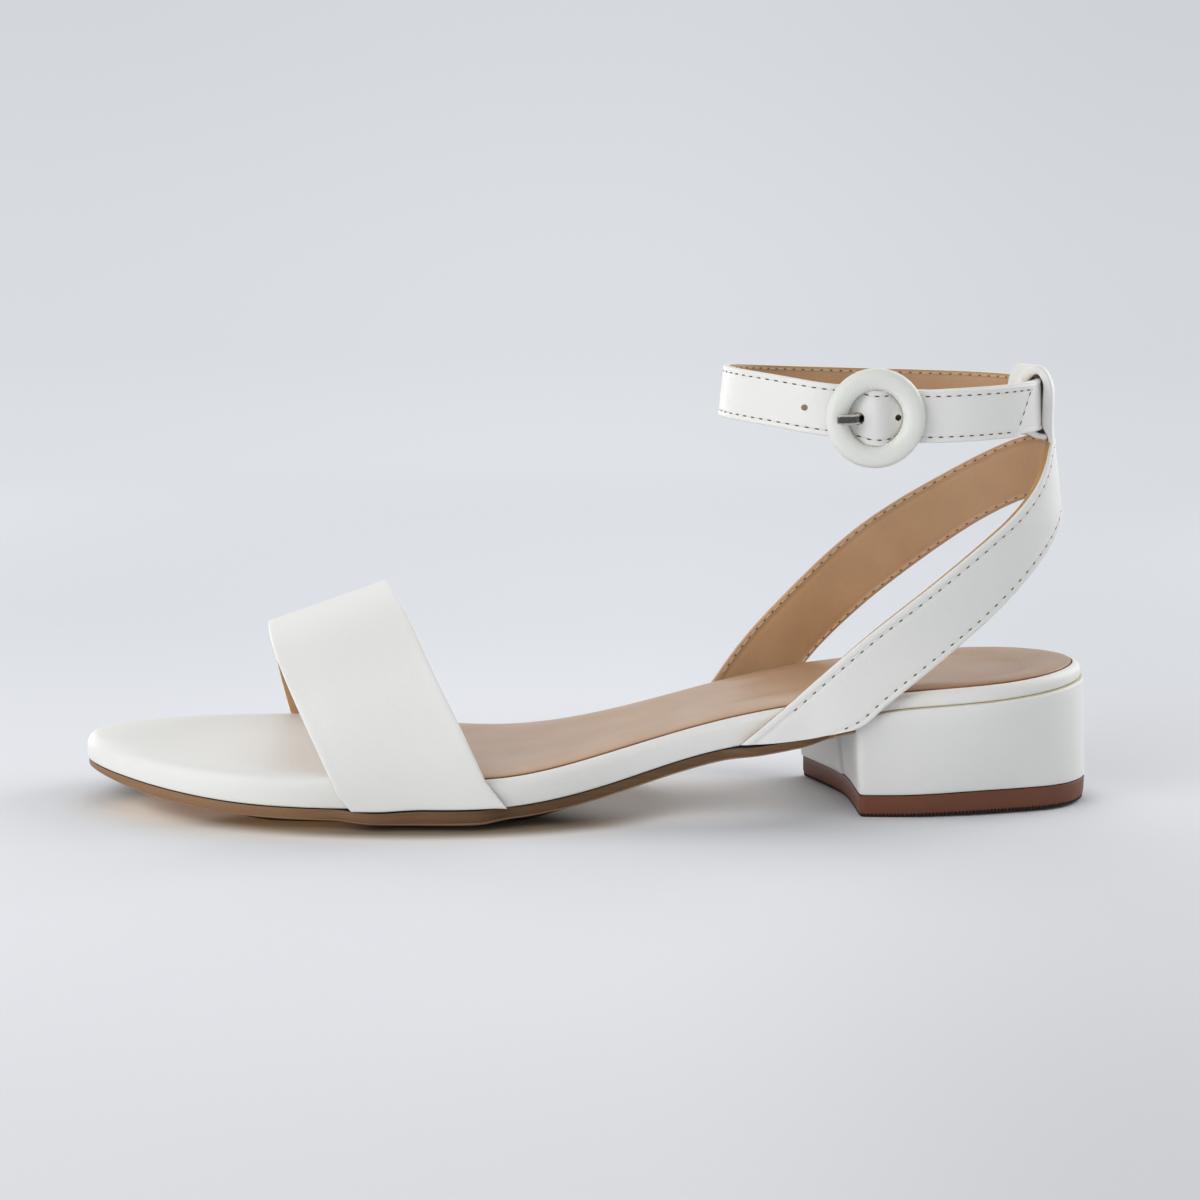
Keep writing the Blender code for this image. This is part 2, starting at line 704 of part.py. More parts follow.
def make_heel_block():
    """White covered block heel with a hollow, forward leaning breast."""
    bottom = LIFT_HEIGHT + GAP
    layers = []
    for lean, inset, height in (
        (0.0, HEEL_TAPER + HEEL_EDGE, 0.0),
        (0.0, HEEL_TAPER, HEEL_EDGE),
        (BREAST_SWEEP, HEEL_TAPER / 2, HEEL_SWEEP_HEIGHT),
    ):
        grid = heel_layer(lean, inset, height)
        layers.append((grid, np.full(grid.shape[:2], bottom + height)))
    layers += wall_layers(heel_layer(BREAST_LEAN, 0.0, HEEL_NARROW_HEIGHT), HEEL_SHOULDER)
    return slab("heel_block", layers, WHITE_LEATHER)


def make_top_piece():
    """Red-brown heel lift that meets the floor."""
    return slab("heel_top_piece", wall_layers(heel_layer(0.0, HEEL_TAPER, 0.0), LIFT_WALL), RED_BROWN_LIFT)


def vamp_surface(rows, cols):
    """Mid surface of the vamp strap, from the lateral tuck over the foot to the medial tuck."""
    turns = [row.turn for row in VAMP]
    front = spline(turns, [row.front for row in VAMP])
    back = spline(turns, [row.back for row in VAMP])
    surface = np.zeros((rows + 1, cols + 1, 3))
    for i, turn in enumerate(np.linspace(turns[0], turns[-1], rows + 1)):
        side = -1 if turn < 0 else 1
        rise = math.cos(math.radians(min(abs(turn), 90)))
        reach = math.sin(math.radians(min(abs(turn), 90)))
        skirt = max(abs(turn) - 90, 0) / (turns[-1] - 90)
        for j in range(cols + 1):
            v = j / cols
            x = float(front(turn) * (1 - v) + back(turn) * v)
            spring = VAMP_SPRING[0] * (1 - v) + VAMP_SPRING[1] * v
            crown = VAMP_CROWN[0] * (1 - v) + VAMP_CROWN[1] * v
            half = edge_y(side, x) + GAP + VAMP_WALL / 2 + STRAP_SLACK - side * VAMP_CROWN_Y
            y = VAMP_CROWN_Y + side * half * reach ** (2 / VAMP_SQUARENESS)
            z = spring + (crown - spring) * rise ** (2 / VAMP_SQUARENESS)
            foot = float(under(x)) - STRAP_TUCK + GAP
            surface[i, j] = x, y, z + (foot - spring) * skirt
    return surface


def make_vamp_strap():
    """Wide strap over the toes, an arch with its ends tucked in above the outsole."""
    return band("vamp_strap", vamp_surface(rows=36, cols=6), VAMP_WALL, WHITE_LEATHER)


def sling_plan(at, z):
    """Plan point of the sling at a distance from the back seam, lateral side negative."""
    side = -1 if at < 0 else 1
    half = SLING_HALF[0] if side < 0 else SLING_HALF[1]
    turn = np.linspace(0, math.pi / 2, 200)
    ring = np.stack([SLING_CENTRE_X + SLING_REACH * np.cos(turn), half * np.sin(turn)], axis=1)
    run = chord_lengths(ring)
    distance = abs(at)
    if distance < run[-1]:
        angle = np.interp(distance, run, turn)
        x, y = SLING_CENTRE_X + SLING_REACH * math.cos(angle), half * math.sin(angle)
    else:
        angle = math.pi / 2
        x, y = SLING_CENTRE_X - (distance - run[-1]), half
    x -= SLING_LEAN * max(z - SLING_LEAN_FROM, 0) * math.cos(angle)
    clear = GAP + HEEL_PROUD * smooth_step(*SLING_OVER_HEEL, x) + SLING_WALL / 2 + STRAP_SLACK
    foot_y = edge_y(side, min(x, SLING_HUGS_TO)) + clear
    lift = smooth_step(*SLING_LIFT, z)
    return np.array([x, side * (foot_y + (y - foot_y) * lift)])


def sling_surface(rows, cols):
    """Mid surface of the sling, from the lateral tuck round the heel to the medial tuck."""
    table = np.array(SLING)
    middle = (table[:, 0:2] + table[:, 2:4]) / 2
    knots = chord_lengths(middle)
    edges = spline(knots, table)
    surface = np.zeros((rows + 1, cols + 1, 3))
    for i, t in enumerate(np.linspace(0, knots[-1], rows + 1)):
        upper_at, upper_z, lower_at, lower_z = edges(t)
        for j in range(cols + 1):
            v = j / cols
            at = upper_at * (1 - v) + lower_at * v
            z = upper_z * (1 - v) + lower_z * v
            surface[i, j] = *sling_plan(at, z), z
    return surface


def make_heel_sling():
    """Sling strap from the lateral waist round the back of the heel to the medial waist."""
    return band("heel_sling", sling_surface(rows=52, cols=3), SLING_WALL, WHITE_LEATHER)


def make_back_loop():
    """Folded tab above the sling's back that the ankle strap runs through."""
    places = np.linspace(LOOP_FROM, LOOP_TO, 6)
    knots = chord_lengths(LOOP)
    outline = spline(knots, np.array(LOOP))
    around = outline(np.linspace(0, knots[-1], 27))
    surface = np.zeros((len(around), len(places), 3))
    for j, at in enumerate(places):
        base = sling_plan(at, LOOP_BASE)
        inward = back_inward(at)
        for i, (ahead, z) in enumerate(around):
            surface[i, j] = *(base + inward * ahead), z
    return band("back_loop", surface, LOOP_WALL, WHITE_LEATHER)


def back_inward(at):
    """Plan direction from the sling's back towards the ankle."""
    along = sling_plan(at + 0.5, LOOP_BASE) - sling_plan(at - 0.5, LOOP_BASE)
    return np.array([-along[1], along[0]]) / np.linalg.norm(along)


def ankle_path():
    """Centre line of the ankle strap as a function of its length, with that length."""
    x, y, z = RING_CENTRE
    layer = ANKLE_WALL + GAP
    bar_y = y + BAR_DEPTH
    fold = BAR_RADIUS + FOLD_PLAY + ANKLE_WALL / 2
    under_rim = y + GAP + ANKLE_WALL / 2
    rim_x = (RING_INNER + RING_OUTER) / 2
    points = [
        AnkleRow(x + FOLD_END, under_rim + 2 * layer + FOLD_SLACK, z),
        AnkleRow(x + SHOULDER, under_rim + 2 * layer, z),
    ]
    for turn in np.linspace(90, 270, 7):
        points.append(AnkleRow(x + fold * math.cos(math.radians(turn)),
                               bar_y + fold * math.sin(math.radians(turn)), z))
    points.append(AnkleRow(x + SHOULDER, under_rim + layer - FOLD_SLACK, z))
    points.append(AnkleRow(x + rim_x, under_rim + layer, z))
    points.extend(ANKLE)
    points.append(AnkleRow(x - rim_x, under_rim, z + RISE_AT_RIM))
    points.append(AnkleRow(x - SHOULDER, under_rim - FOLD_SLACK, z + RISE_AT_SHOULDER))
    points.append(AnkleRow(x, bar_y - fold - layer, z))
    points.append(AnkleRow(x + SHOULDER, under_rim - FOLD_SLACK, z))
    points.append(AnkleRow(x + rim_x, under_rim, z))
    for k in range(TAIL_ROWS):
        row = ANKLE[k]
        ahead = np.array(ANKLE[k + 1][:2]) - np.array(ANKLE[k][:2])
        outward = np.array([ahead[1], -ahead[0]]) / np.linalg.norm(ahead)
        points.append(AnkleRow(*(np.array(row[:2]) + outward * layer), row.z - TAIL_DROP))
    points.append(TAIL_TIP)
    knots = chord_lengths(points)
    return spline(knots, np.array(points)), knots


def ankle_surface(curve, knots, cols):
    """Mid surface of the ankle strap, with a slanted tail."""
    stops = []
    for k in range(len(knots) - 1):
        low, high = knots[k:k + 2]
        start = unit(curve(low + 0.2) - curve(low))
        end = unit(curve(high) - curve(high - 0.2))
        turn = math.degrees(math.acos(np.clip(np.dot(start, end), -1, 1)))
        pieces = max(1, math.ceil(max((high - low) / STEP_LENGTH, turn / STEP_TURN)))
        stops.extend(np.linspace(low, high, pieces, endpoint=False))
    stops.append(knots[-1])
    surface = np.zeros((len(stops), cols + 1, 3))
    for i, stop in enumerate(stops):
        slant = ANKLE_SLANT * smooth_step(knots[-1] - ANKLE_SLANT_RUN, knots[-1], stop)
        for j in range(cols + 1):
            v = 1 - 2 * j / cols
            place = curve(stop + slant * v / 2 - slant / 2)
            ahead = curve(stop + 0.1) - curve(stop - 0.1)
            outward = np.array([ahead[1], -ahead[0]]) / np.linalg.norm(ahead[:2])
            lean = ANKLE_LEAN * abs(outward[0]) ** 2
            height = v * ANKLE_WIDTH / 2
            surface[i, j, :2] = place[:2] - outward * lean * height
            surface[i, j, 2] = place[2] + height
    return surface


def make_ankle_strap():
    """Ankle strap: folded over the buckle bar, round the ankle and through the ring to its tail."""
    curve, knots = ankle_path()
    strap = band("ankle_strap", ankle_surface(curve, knots, cols=2), ANKLE_WALL, WHITE_LEATHER)
    cutters = [
        tube(f"hole_cutter_{number}", strap_bore(hole_x), HOLE_RADIUS, 10, WHITE_LEATHER)
        for number, hole_x in enumerate(HOLE_X)
    ]
    path = prong_path()
    longer = np.concatenate([[2 * path[0] - path[1]], path])
    cutters.append(tube("prong_hole_cutter", longer, PRONG_RADIUS + PRONG_PLAY, 12, WHITE_LEATHER))
    cut(strap, cutters)
    return strap


def outer_run(x):
    """Point of the strap's outer run, between its front turn and the tail, at x."""
    curve, knots = ankle_path()
    points = curve(np.linspace(OUTER_RUN_FROM * knots[-1], knots[-1], 600))
    return points[np.argmin(abs(points[:, 0] - x))]


def strap_bore(x):
    """Two ends of a bore through the strap's outer run at x."""
    middle = outer_run(x)
    return [middle + np.array([0.0, depth, 0.0]) for depth in BORE_DEPTHS]


def make_buckle_ring():
    """Domed ring covered in the strap's leather."""
    x, y, z = RING_CENTRE
    points = []
    for angle in np.linspace(0, 2 * math.pi, RING_STEPS, endpoint=False):
        for radius, height in RING_PROFILE:
            points.append((x + radius * math.cos(angle), y - height, z + radius * math.sin(angle)))
    index = np.arange(len(points)).reshape(RING_STEPS, -1)
    faces = []
    for low, high in zip(index, np.roll(index, -1, axis=0)):
        faces.extend(loop_quads(low, high))
    return finish_mesh("buckle_ring", points, faces, WHITE_LEATHER)


def make_buckle_bar():
    """Upright bar behind the ring that the strap folds over, its ends bent to the ring's back."""
    x, y, z = RING_CENTRE
    upper = [(x, y - row.out, z + row.up) for row in BAR_HALF]
    lower = [(x, y - row.out, z - row.up) for row in reversed(BAR_HALF)]
    return tube("buckle_bar", upper + lower, BAR_RADIUS, 12, POLISHED_METAL)


def prong_path():
    """Centre line of the prong, from beside the bar to the ring's front rim."""
    x, y, z = RING_CENTRE
    points = [(x - row.ahead, y - row.out, z - PRONG_DROP) for row in PRONG]
    knots = chord_lengths(points)
    return spline(knots, np.array(points))(np.linspace(0, knots[-1], 9))


def make_buckle_prong():
    """Prong through the strap's hole."""
    return tube("buckle_prong", prong_path(), PRONG_RADIUS, 10, POLISHED_METAL)


def main():
    for old in list(bpy.data.objects):
        bpy.data.objects.remove(old, do_unlink=True)
    make_outsole()
    make_footbed()
    make_sock()
    make_heel_block()
    make_top_piece()
    make_vamp_strap()
    make_heel_sling()
    make_back_loop()
    make_ankle_strap()
    make_buckle_ring()
    make_buckle_bar()
    make_buckle_prong()


main()
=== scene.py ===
import math
from collections import namedtuple

import bmesh
import bpy
import numpy as np
from mathutils import Matrix, Vector


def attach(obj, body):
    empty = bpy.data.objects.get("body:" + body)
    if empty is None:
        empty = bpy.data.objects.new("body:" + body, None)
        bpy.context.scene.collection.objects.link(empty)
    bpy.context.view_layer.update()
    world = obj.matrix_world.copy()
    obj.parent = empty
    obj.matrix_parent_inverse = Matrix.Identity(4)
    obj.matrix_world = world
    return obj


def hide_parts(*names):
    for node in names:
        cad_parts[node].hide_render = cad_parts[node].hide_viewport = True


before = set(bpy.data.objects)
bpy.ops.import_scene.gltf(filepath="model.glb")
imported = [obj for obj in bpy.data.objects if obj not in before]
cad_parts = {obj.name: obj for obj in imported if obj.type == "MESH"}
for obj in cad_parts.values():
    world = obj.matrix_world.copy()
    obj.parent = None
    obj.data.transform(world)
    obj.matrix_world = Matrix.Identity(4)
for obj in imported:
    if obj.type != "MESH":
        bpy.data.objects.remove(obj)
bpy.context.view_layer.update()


def table(columns, rows):
    """Rows of a design table, with named columns."""
    row = namedtuple("row", columns)
    return [row(*values) for values in rows]


# White block-heel dress sandal for the left foot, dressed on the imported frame.
# Sizes are in millimetres and become metres when a mesh is made. The toe points to -X,
# the lateral side with the buckle faces -Y, and the shoe stands on z = 0. ORIGIN is the plan
# point of the tables that becomes the frame's origin, and GAP is the room between two pieces.
MM = 0.001
ORIGIN = np.array([-0.05, 0.94, 0.0])
FOOT_LENGTH = 250.0
GAP = 0.3
STRAP_SLACK = 0.1

# Footbed sections: distance from the heel, half widths, underside and rim heights
LAST = table("station lateral medial under rim", [
    (10, 18.5, 18.2, 31.2, 34.9),
    (25, 26.8, 26.3, 29.9, 33.6),
    (45, 28.1, 27.7, 28.2, 31.9),
    (56, 27.7, 27.3, 26.7, 30.7),
    (70, 27.4, 26.3, 22.4, 29.0),
    (95, 26.8, 22.3, 17.2, 24.0),
    (120, 29.9, 23.2, 9.9, 17.2),
    (145, 36.2, 29.6, 5.5, 12.3),
    (165, 36.6, 35.0, 4.9, 11.9),
    (180, 37.0, 37.8, 5.2, 12.8),
    (195, 36.9, 39.0, 5.6, 13.6),
    (210, 34.0, 36.7, 6.2, 14.1),
    (225, 27.3, 31.8, 7.4, 14.7),
    (237, 18.3, 23.4, 8.6, 15.5),
])
HEEL_TIP = (FOOT_LENGTH / 2 - 1.2, 0.0)
TOE_TIP = (-FOOT_LENGTH / 2, 3.0)
EDGE_REACH = 0.002
TIP_ARC = 0.055
BOW_SHARE = 0.11

# Wrapped edge of the footbed, from the wall to the top: inset and drop below the rim,
# first along the sock and then round the padded toe
FOOTBED_GRID = (170, 26)
WRAP = table("inset drop toe_inset toe_drop", [
    (0.05, 3.2, 0.0, 4.2),
    (0.0, 2.0, 0.08, 3.2),
    (0.1, 1.4, 0.3, 2.3),
    (0.35, 0.85, 0.75, 1.45),
    (0.8, 0.4, 1.5, 0.72),
    (1.4, 0.1, 2.5, 0.26),
    (1.9, 0.0, 3.9, 0.04),
])
TOE_WRAP = (-60.0, -74.0)
RECESS_FRONT = -62.0
RECESS_RUN = 6.0
SOCK_RECESS = 1.5
TOE_CROWN = 0.4
DISH_INSET = 9.0
HEEL_DISH = 2.0
DISH_SPAN = (50.0, 92.0)

# Sock: front cut as (lateral x, medial x, bow), and its pillowed edge as inset and rise above the
# rim, where SOCK_LINE_ROWS show its cut edge. The hollow and the sink run out in shares of the
# sock's width and length.
SOCK_GRID = (150, 26)
SOCK_FOOT_INSET = 1.0
SOCK_FOOT_PLAY = 0.1
SOCK_INSET = 2.3
SOCK_FRONT = (-52.0, -60.0, -3.0)
SOCK_EDGE = table("inset rise", [
    (0.0, -0.6),
    (0.0, 0.1),
    (0.05, 0.26),
    (0.3, 0.42),
    (1.1, 0.66),
    (2.4, 0.94),
    (4.2, 1.17),
    (6.4, 1.32),
    (8.4, 1.37),
])
SOCK_LINE_ROWS = (1, 2)
SOCK_RISE = 1.37
SOCK_HOLLOW = 0.5
HOLLOW_ACROSS = (0.0, 0.7)
HOLLOW_ALONG = (0.0, 0.2)
SINK_INSETS = (2.0, DISH_INSET + 4.0)
SINK_MIDDLE = 0.45
SINK_ALONG = (0.0, 0.12)

# Outsole: thickness at the forefoot, heel end and toe, drop of its very end at the breast, belly
# under the ball, flange and tuck under the straps, and the welt that rises under the vamp's end
SOLE_GRID = (170, 24)
SOLE_THICKNESS = 3.0
SOLE_THIN_END = 2.7
SOLE_THIN_SPAN = (25.0, 60.0)
SOLE_END_DROP = 1.0
SOLE_END_SPAN = (54.0, 66.0)
SOLE_TOE = 1.8
SOLE_TOE_SPAN = (-125.0, -105.0)
SOLE_SET_IN = 0.4
SOLE_BELLY = 2.7
BELLY_FRONT = (-115.0, -70.0)
BELLY_BACK = (-20.0, 20.0)
BELLY_INSET = 9.0
SEAT_INSET = 4.0
STRAP_TUCK = 0.3
STRAP_FLANGE = 2.2
WELT = 0.7
WELT_FRONT = (-52.0, -40.0)
WELT_BACK = (-24.0, -17.0)
TUCK_FRONT = (-5.0, 5.0)
TUCK_BACK = (-7.0, 2.0)

# Heel: breast corners at the floor as (lateral x, medial x, hollow), its forward lean at the seat,
# the share by which the bottom is narrower than the seat, at the breast and at the back, the
# flare and rise of its back, the cover's lapped seam in the breast and the lift's teeth
BREAST = (65.2, 56.6, 3.6)
BREAST_NOTCH = 4.6
BREAST_LEAN = 1.9
SOLE_END_PLAY = 0.9
NOTCH_LIP = 1.03
NOTCH_ROUND = 0.06
LIFT_HEIGHT = 5.4
HEEL_PROUD = 1.1
HEEL_TAPER = 0.3
HEEL_NARROW = (0.155, 0.24)
HEEL_NARROW_SPAN = (75.0, 106.0)
HEEL_FLARE = 1.7
HEEL_FLARE_SPAN = (104.0, 121.0)
HEEL_RISE = 0.5
HEEL_RISE_SPAN = (70.0, 100.0)
LIFT_SWELL = 0.6
HEEL_LEAN = ((0.0, 0.45, 1.0), (0.0, 0.9, BREAST_LEAN))
HEEL_LEVELS = (0.03, 1.0, 9)
HEEL_CENTRE = (95.0, 0.0)
HEEL_SIDE_STEPS = 300
BREAST_STEPS = 160
COVER_PLAY = 0.1
COVER_FOOT = 0.12
COVER_WALL = (0.6, 2.6)
HEEL_POINTS = 460
LIFT_POINTS = 1150
CORNER_ROUND = 1.7
SEAM_SHARE = 0.5
SEAM_LAP = 0.5
SEAM_LAP_RUN = (SEAM_SHARE - 0.012, SEAM_SHARE + 0.004)
SEAM_GROOVE = 0.4
SEAM_GROOVE_AT = (SEAM_SHARE - 0.014, 0.01)
TOOTH_PITCH = 0.95
TOOTH_DEPTH = 0.45
TOOTH_GAP = 0.3

# Vamp strap: turn around the arch in degrees from its crown, front and back edges. A strap's
# EDGE says how far its rims stand out and at which share of their turn the lining starts.
VAMP_WALL = 1.8
VAMP_CROWN_Y = 3.0
VAMP_SQUARENESS = 2.2
VAMP_SPRING = (9.0, 12.0)
VAMP_CROWN = (42.2, 52.8)
VAMP_ROWS = 181
VAMP_MIDDLE = 16
VAMP_EDGE = (0.35, 0.75)
VAMP_SWELL = 0.07
VAMP_SWELL_AT = (0.8, 1.0)
VAMP = table("turn front back", [
    (-100, -56.7, -20.6),
    (-90, -59.8, -25.5),
    (-75, -64.2, -31.1),
    (-60, -68.4, -36.3),
    (-30, -75.4, -44.4),
    (0, -79.2, -50.1),
    (30, -80.6, -51.2),
    (60, -80.1, -50.2),
    (90, -76.3, -46.2),
    (100, -74.3, -43.2),
])

# Heel sling: distance along its plan from the back seam and height, for both edges. A strap's
# ROWS of points lie along it, and its MIDDLE columns lie between the steps beside its edges.
SLING_WALL = 2.0
SLING_CENTRE_X = 55.0
SLING_REACH = 62.2
SLING_HALF = (28.5, 26.5)
SLING_LEAN = 0.14
SLING_LEAN_FROM = 71.0
SLING_OVER_HEEL = (50.0, 62.0)
SLING_HUGS_TO = 110.0
SLING_LIFT = (22.0, 47.0)
SLING_ROWS = 241
SLING_MIDDLE = 8
SLING_SQUARE = 0.6
SLING_SAG = 0.6
SLING_SAG_ROWS = 14
SLING_EDGE = (0.3, 0.4)
SLING_BARE_TO = 7.0
SLING_LINING_PRESS = 0.6
SLING = table("upper_at upper_z lower_at lower_z", [
    (-92.3, 19.2, -71.0, 22.0),
    (-84.3, 26.1, -65.5, 23.4),
    (-70.0, 39.1, -59.5, 28.0),
    (-50.0, 55.1, -41.0, 42.0),
    (-29.0, 70.6, -20.5, 58.4),
    (-16.5, 80.2, -10.5, 67.3),
    (-10.4, 87.0, -4.5, 72.2),
    (-7.0, 90.4, -0.8, 74.1),
    (0.0, 91.2, 2.5, 75.3),
    (9.0, 90.8, 8.5, 75.8),
    (18.0, 87.9, 15.0, 74.0),
    (35.0, 79.2, 27.0, 67.4),
    (56.0, 65.6, 45.0, 53.8),
    (76.5, 45.9, 60.5, 39.9),
    (88.0, 32.7, 69.5, 29.5),
    (98.0, 18.6, 74.5, 22.1),
])

# Ankle strap: centre line from the buckle round the ankle and back to it. Its rows of points are
# a STEP apart, or closer where it turns by STEP_TURN degrees.
ANKLE_WALL = 1.6
ANKLE_WIDTH = 11.9
ANKLE_UP = 0.3
RING_FILL = 0.42
ANKLE_LEAN = 0.09
ANKLE_SLANT = 6.4
ANKLE_SLANT_RUN = 10.0
ANKLE_MIDDLE = 5
ANKLE_STEP = 1.4
ANKLE_STEP_TURN = 5.0
ANKLE_EDGE = (0.3, 0.75)
ANKLE_PRESS = (0.7, 0.5)
PRESS_FROM_TIP = (1.4, 2.4)
ANKLE = table("x y z", [
    (88.0, -21.0, 98.0),
    (99.0, -17.2, 98.6),
    (107.5, -9.5, 99.2),
    (111.2, 0.5, 99.5),
    (107.5, 10.5, 99.7),
    (97.0, 18.8, 99.9),
    (80.0, 23.0, 100.1),
    (60.0, 22.5, 100.5),
    (44.0, 16.5, 101.2),
    (35.5, 8.0, 101.8),
    (33.0, 0.0, 101.9),
    (35.8, -8.0, 101.5),
    (45.0, -17.5, 100.4),
])
BEHIND_LOOP = 4
TAIL_ROWS = 2
TAIL_DROP = 0.2
TAIL_TIP = (107.1, -13.2, 98.8)
FOLD_END = 13.0
FOLD_SLACK = 0.1
RISE_AT_RIM = 1.3
RISE_AT_SHOULDER = 0.7
SHOULDER = 4.6

# Buckle: a covered ring, the bar behind it and the prong through the strap. A band of heights
# over and under the prong's middle says where a painted highlight lightens it towards its edges.
RING_CENTRE = (66.8, -24.4, 97.5)
RING_OUTER = 12.0
RING_INNER = 7.0
RING_HEIGHT = 3.4
RING_PLEATS = 46
PLEAT_DEPTH = 0.06
PLEAT_RUN = 1.2
RING_UNEVEN = 0.03
RING_ROWS = 184
RING_COLUMNS = 40
BAR_RADIUS = 0.8
BAR_LENGTH = 18.4
BAR_DEPTH = 3.4
BAR_ROWS = 60
BAR_SIDES = 20
ROD_SIDES = 28
FOLD_PLAY = 0.55
PRONG_RADIUS = 1.2
PRONG_THICK = 0.75
PRONG_DROP = 0.2
PRONG_TIP = 0.93
PRONG_TAPER = 0.35
HIGHLIGHT_BAND = (0.62, 0.9)
HOLE_RADIUS = 0.75
HOLE_X = (50.2, 72.4)
HOLE_DEPTHS = (-3.0, 1.5)
OUTER_RUN_FROM = 0.62
RING_HOLE = 6.75
RING_RIM = 11.85
RING_LIP = 0.28
RING_PROFILE = table("radius height", [
    (RING_HOLE + 0.9, 0.0),
    (RING_RIM - 0.5, 0.0),
    (RING_RIM, 0.7),
    (RING_RIM - 0.1, 1.6),
    (RING_RIM - 0.6, 2.4),
    (RING_RIM - 1.6, 2.85),
    ((RING_RIM + RING_HOLE) / 2, 2.95),
    (RING_HOLE + 1.5, 2.85),
    (RING_HOLE + 0.5, 2.4),
    (RING_HOLE + 0.05, 1.6),
    (RING_HOLE, 1.1),
    (RING_HOLE - RING_LIP, 0.75),
    (RING_HOLE - RING_LIP, 0.4),
])
BAR_HALF = table("up out", [
    (BAR_LENGTH / 2 + 0.4, -GAP),
    (BAR_LENGTH / 2, 0.8 - BAR_DEPTH),
    (BAR_LENGTH / 2 - 0.9, -BAR_DEPTH),
])
PRONG = table("ahead out", [
    (BAR_RADIUS + PRONG_RADIUS + 0.2, 0.6 - BAR_DEPTH),
    (3.9, -0.2),
    (RING_INNER - 0.7, RING_HEIGHT + PRONG_RADIUS - 0.8),
    (RING_INNER + 2.6, RING_HEIGHT + PRONG_RADIUS + GAP),
])

# Back loop: outline of the folded tab as distance ahead of the sling's back and height.
# Its first rows lie in the sling's wall, so that tab and sling run into each other. Spans of
# height say where its outside and inside thin towards the foot and where its back is padded.
LOOP_WALL = 2.0
LOOP_BASE = 92.0
LOOP_FROM = -7.0
LOOP_TO = 10.2
LOOP_TOP = 7
LOOP_FOOT = (92.0, 89.0)
LOOP_FOOT_THIN = 0.5
LOOP_INNER_FOOT = (95.0, 91.0)
LOOP_INNER_THIN = 0.9
LOOP_ROWS = 110
LOOP_COLUMNS = 25
LOOP_EDGE = (0.45, 1.0)
LOOP_PAD = 0.5
LOOP_PAD_FOOT = (91.5, 95.0)
LOOP_PAD_HEAD = (106.0, 101.0)
LOOP = table("ahead z", [
    (-1.4, 79.5),
    (-1.15, 84.0),
    (-0.6, 88.0),
    (-0.05, 91.2),
    (0.3, 95.0),
    (0.4, 102.0),
    (1.4, 106.2),
    (3.4, 108.1),
    (6.0, 106.6),
    (7.1, 103.0),
    (6.7, 97.6),
    (5.7, 94.3),
    (3.9, 92.7),
    (2.2, 92.2),
    (0.9, 92.1),
])

# Sewing: distance from the edge, pitch, where the threads start and stop along the strap, and
# the length and width of a needle hole. EDGE_STEPS are the columns of points beside a strap's
# edge, and a row of stitches follows one of them.
EDGE_STEPS = [0.0, 0.3, 0.6, 1.1, 1.3, 1.65, 2.0, 2.5, 3.1, 3.8]
Seam = namedtuple("Seam", "inset pitch start stop hole")
SLING_UPPER_SEAM = Seam(1.65, 3.0, 13.0, 12.0, (1.1, 0.42))
SLING_LOWER_SEAM = Seam(1.3, 3.0, 6.0, 9.0, (1.1, 0.42))
LINING_HOLE = (0.7, 0.36)
SLING_LINING_SEAM = {"inset": 0.6, "start": 13.0, "hole": LINING_HOLE}
ANKLE_SEAM = Seam(1.1, 2.55, 1.0, 2.2, (1.3, 0.36))
ANKLE_LINING_SEAM = ANKLE_SEAM._replace(inset=0.6, hole=LINING_HOLE)
ANKLE_TIP_SEAM = ANKLE_SEAM._replace(start=0.9, stop=0.2)
GROOVE_DEPTH = 0.18
GROOVE_WIDTH = 0.4
EDGE_SWELL = 0.12
EDGE_SWELL_WIDTH = 0.6
HOLE_LIFT = 0.03
HOLE_RELIEF = 0.14
STITCH_REACH = 0.2
THREAD_OVERLAP = 0.7
THREAD_SECTION = (0.5, 0.36)

# Camera, worked back from the photograph
CAMERA_PLACE = (-21.9, -591.9, 139.9)
CAMERA_YAW = 2.4
CAMERA_PITCH = 8.65
CAMERA_ROLL = 0.6
CAMERA_LENS = 72.097
CAMERA_SENSOR = 36.0


def spline(knots, values):
    """Natural cubic spline through rows of values, as a function of the knot parameter."""
    x = np.asarray(knots, float)
    y = np.asarray(values, float)
    count = len(x)
    step = np.diff(x)
    slope = np.diff(y, axis=0) / step.reshape((-1,) + (1,) * (y.ndim - 1))
    matrix = np.eye(count)
    right = np.zeros_like(y)
    for i in range(1, count - 1):
        matrix[i, i - 1:i + 2] = step[i - 1], 2 * (step[i - 1] + step[i]), step[i]
        right[i] = 6 * (slope[i] - slope[i - 1])
    bend = np.linalg.solve(matrix, right)

    def at(t):
        t = np.asarray(t, float)
        i = np.clip(np.searchsorted(x, t) - 1, 0, count - 2)
        shape = t.shape + (1,) * (y.ndim - 1)
        h = step[i].reshape(shape)
        a = ((x[i + 1] - t) / step[i]).reshape(shape)
        b = 1 - a
        curve = (a ** 3 - a) * bend[i] + (b ** 3 - b) * bend[i + 1]
        return a * y[i] + b * y[i + 1] + curve * h * h / 6

    return at


def chord_lengths(points):
    """Running length along a row of points."""
    steps = np.linalg.norm(np.diff(np.asarray(points, float), axis=0), axis=1)
    return np.concatenate([[0.0], np.cumsum(steps)])


def evenly(points, count):
    """Evenly spaced points on a spline through a row of points."""
    knots = chord_lengths(points)
    return spline(knots, points)(np.linspace(0, knots[-1], count))


def closed_spline(points, wrap):
    """Spline round a closed row of points, with their knots and that of the first one again."""
    around = points[-wrap:] + points + points[:wrap + 1]
    knots = chord_lengths(around)
    return spline(knots, around), knots[wrap:wrap + len(points) + 1]


def at_stops(stops, run, rows):
    """Rows of values between those that are given at a running length."""
    return np.stack([np.interp(stops, run, column) for column in rows.T], axis=-1)


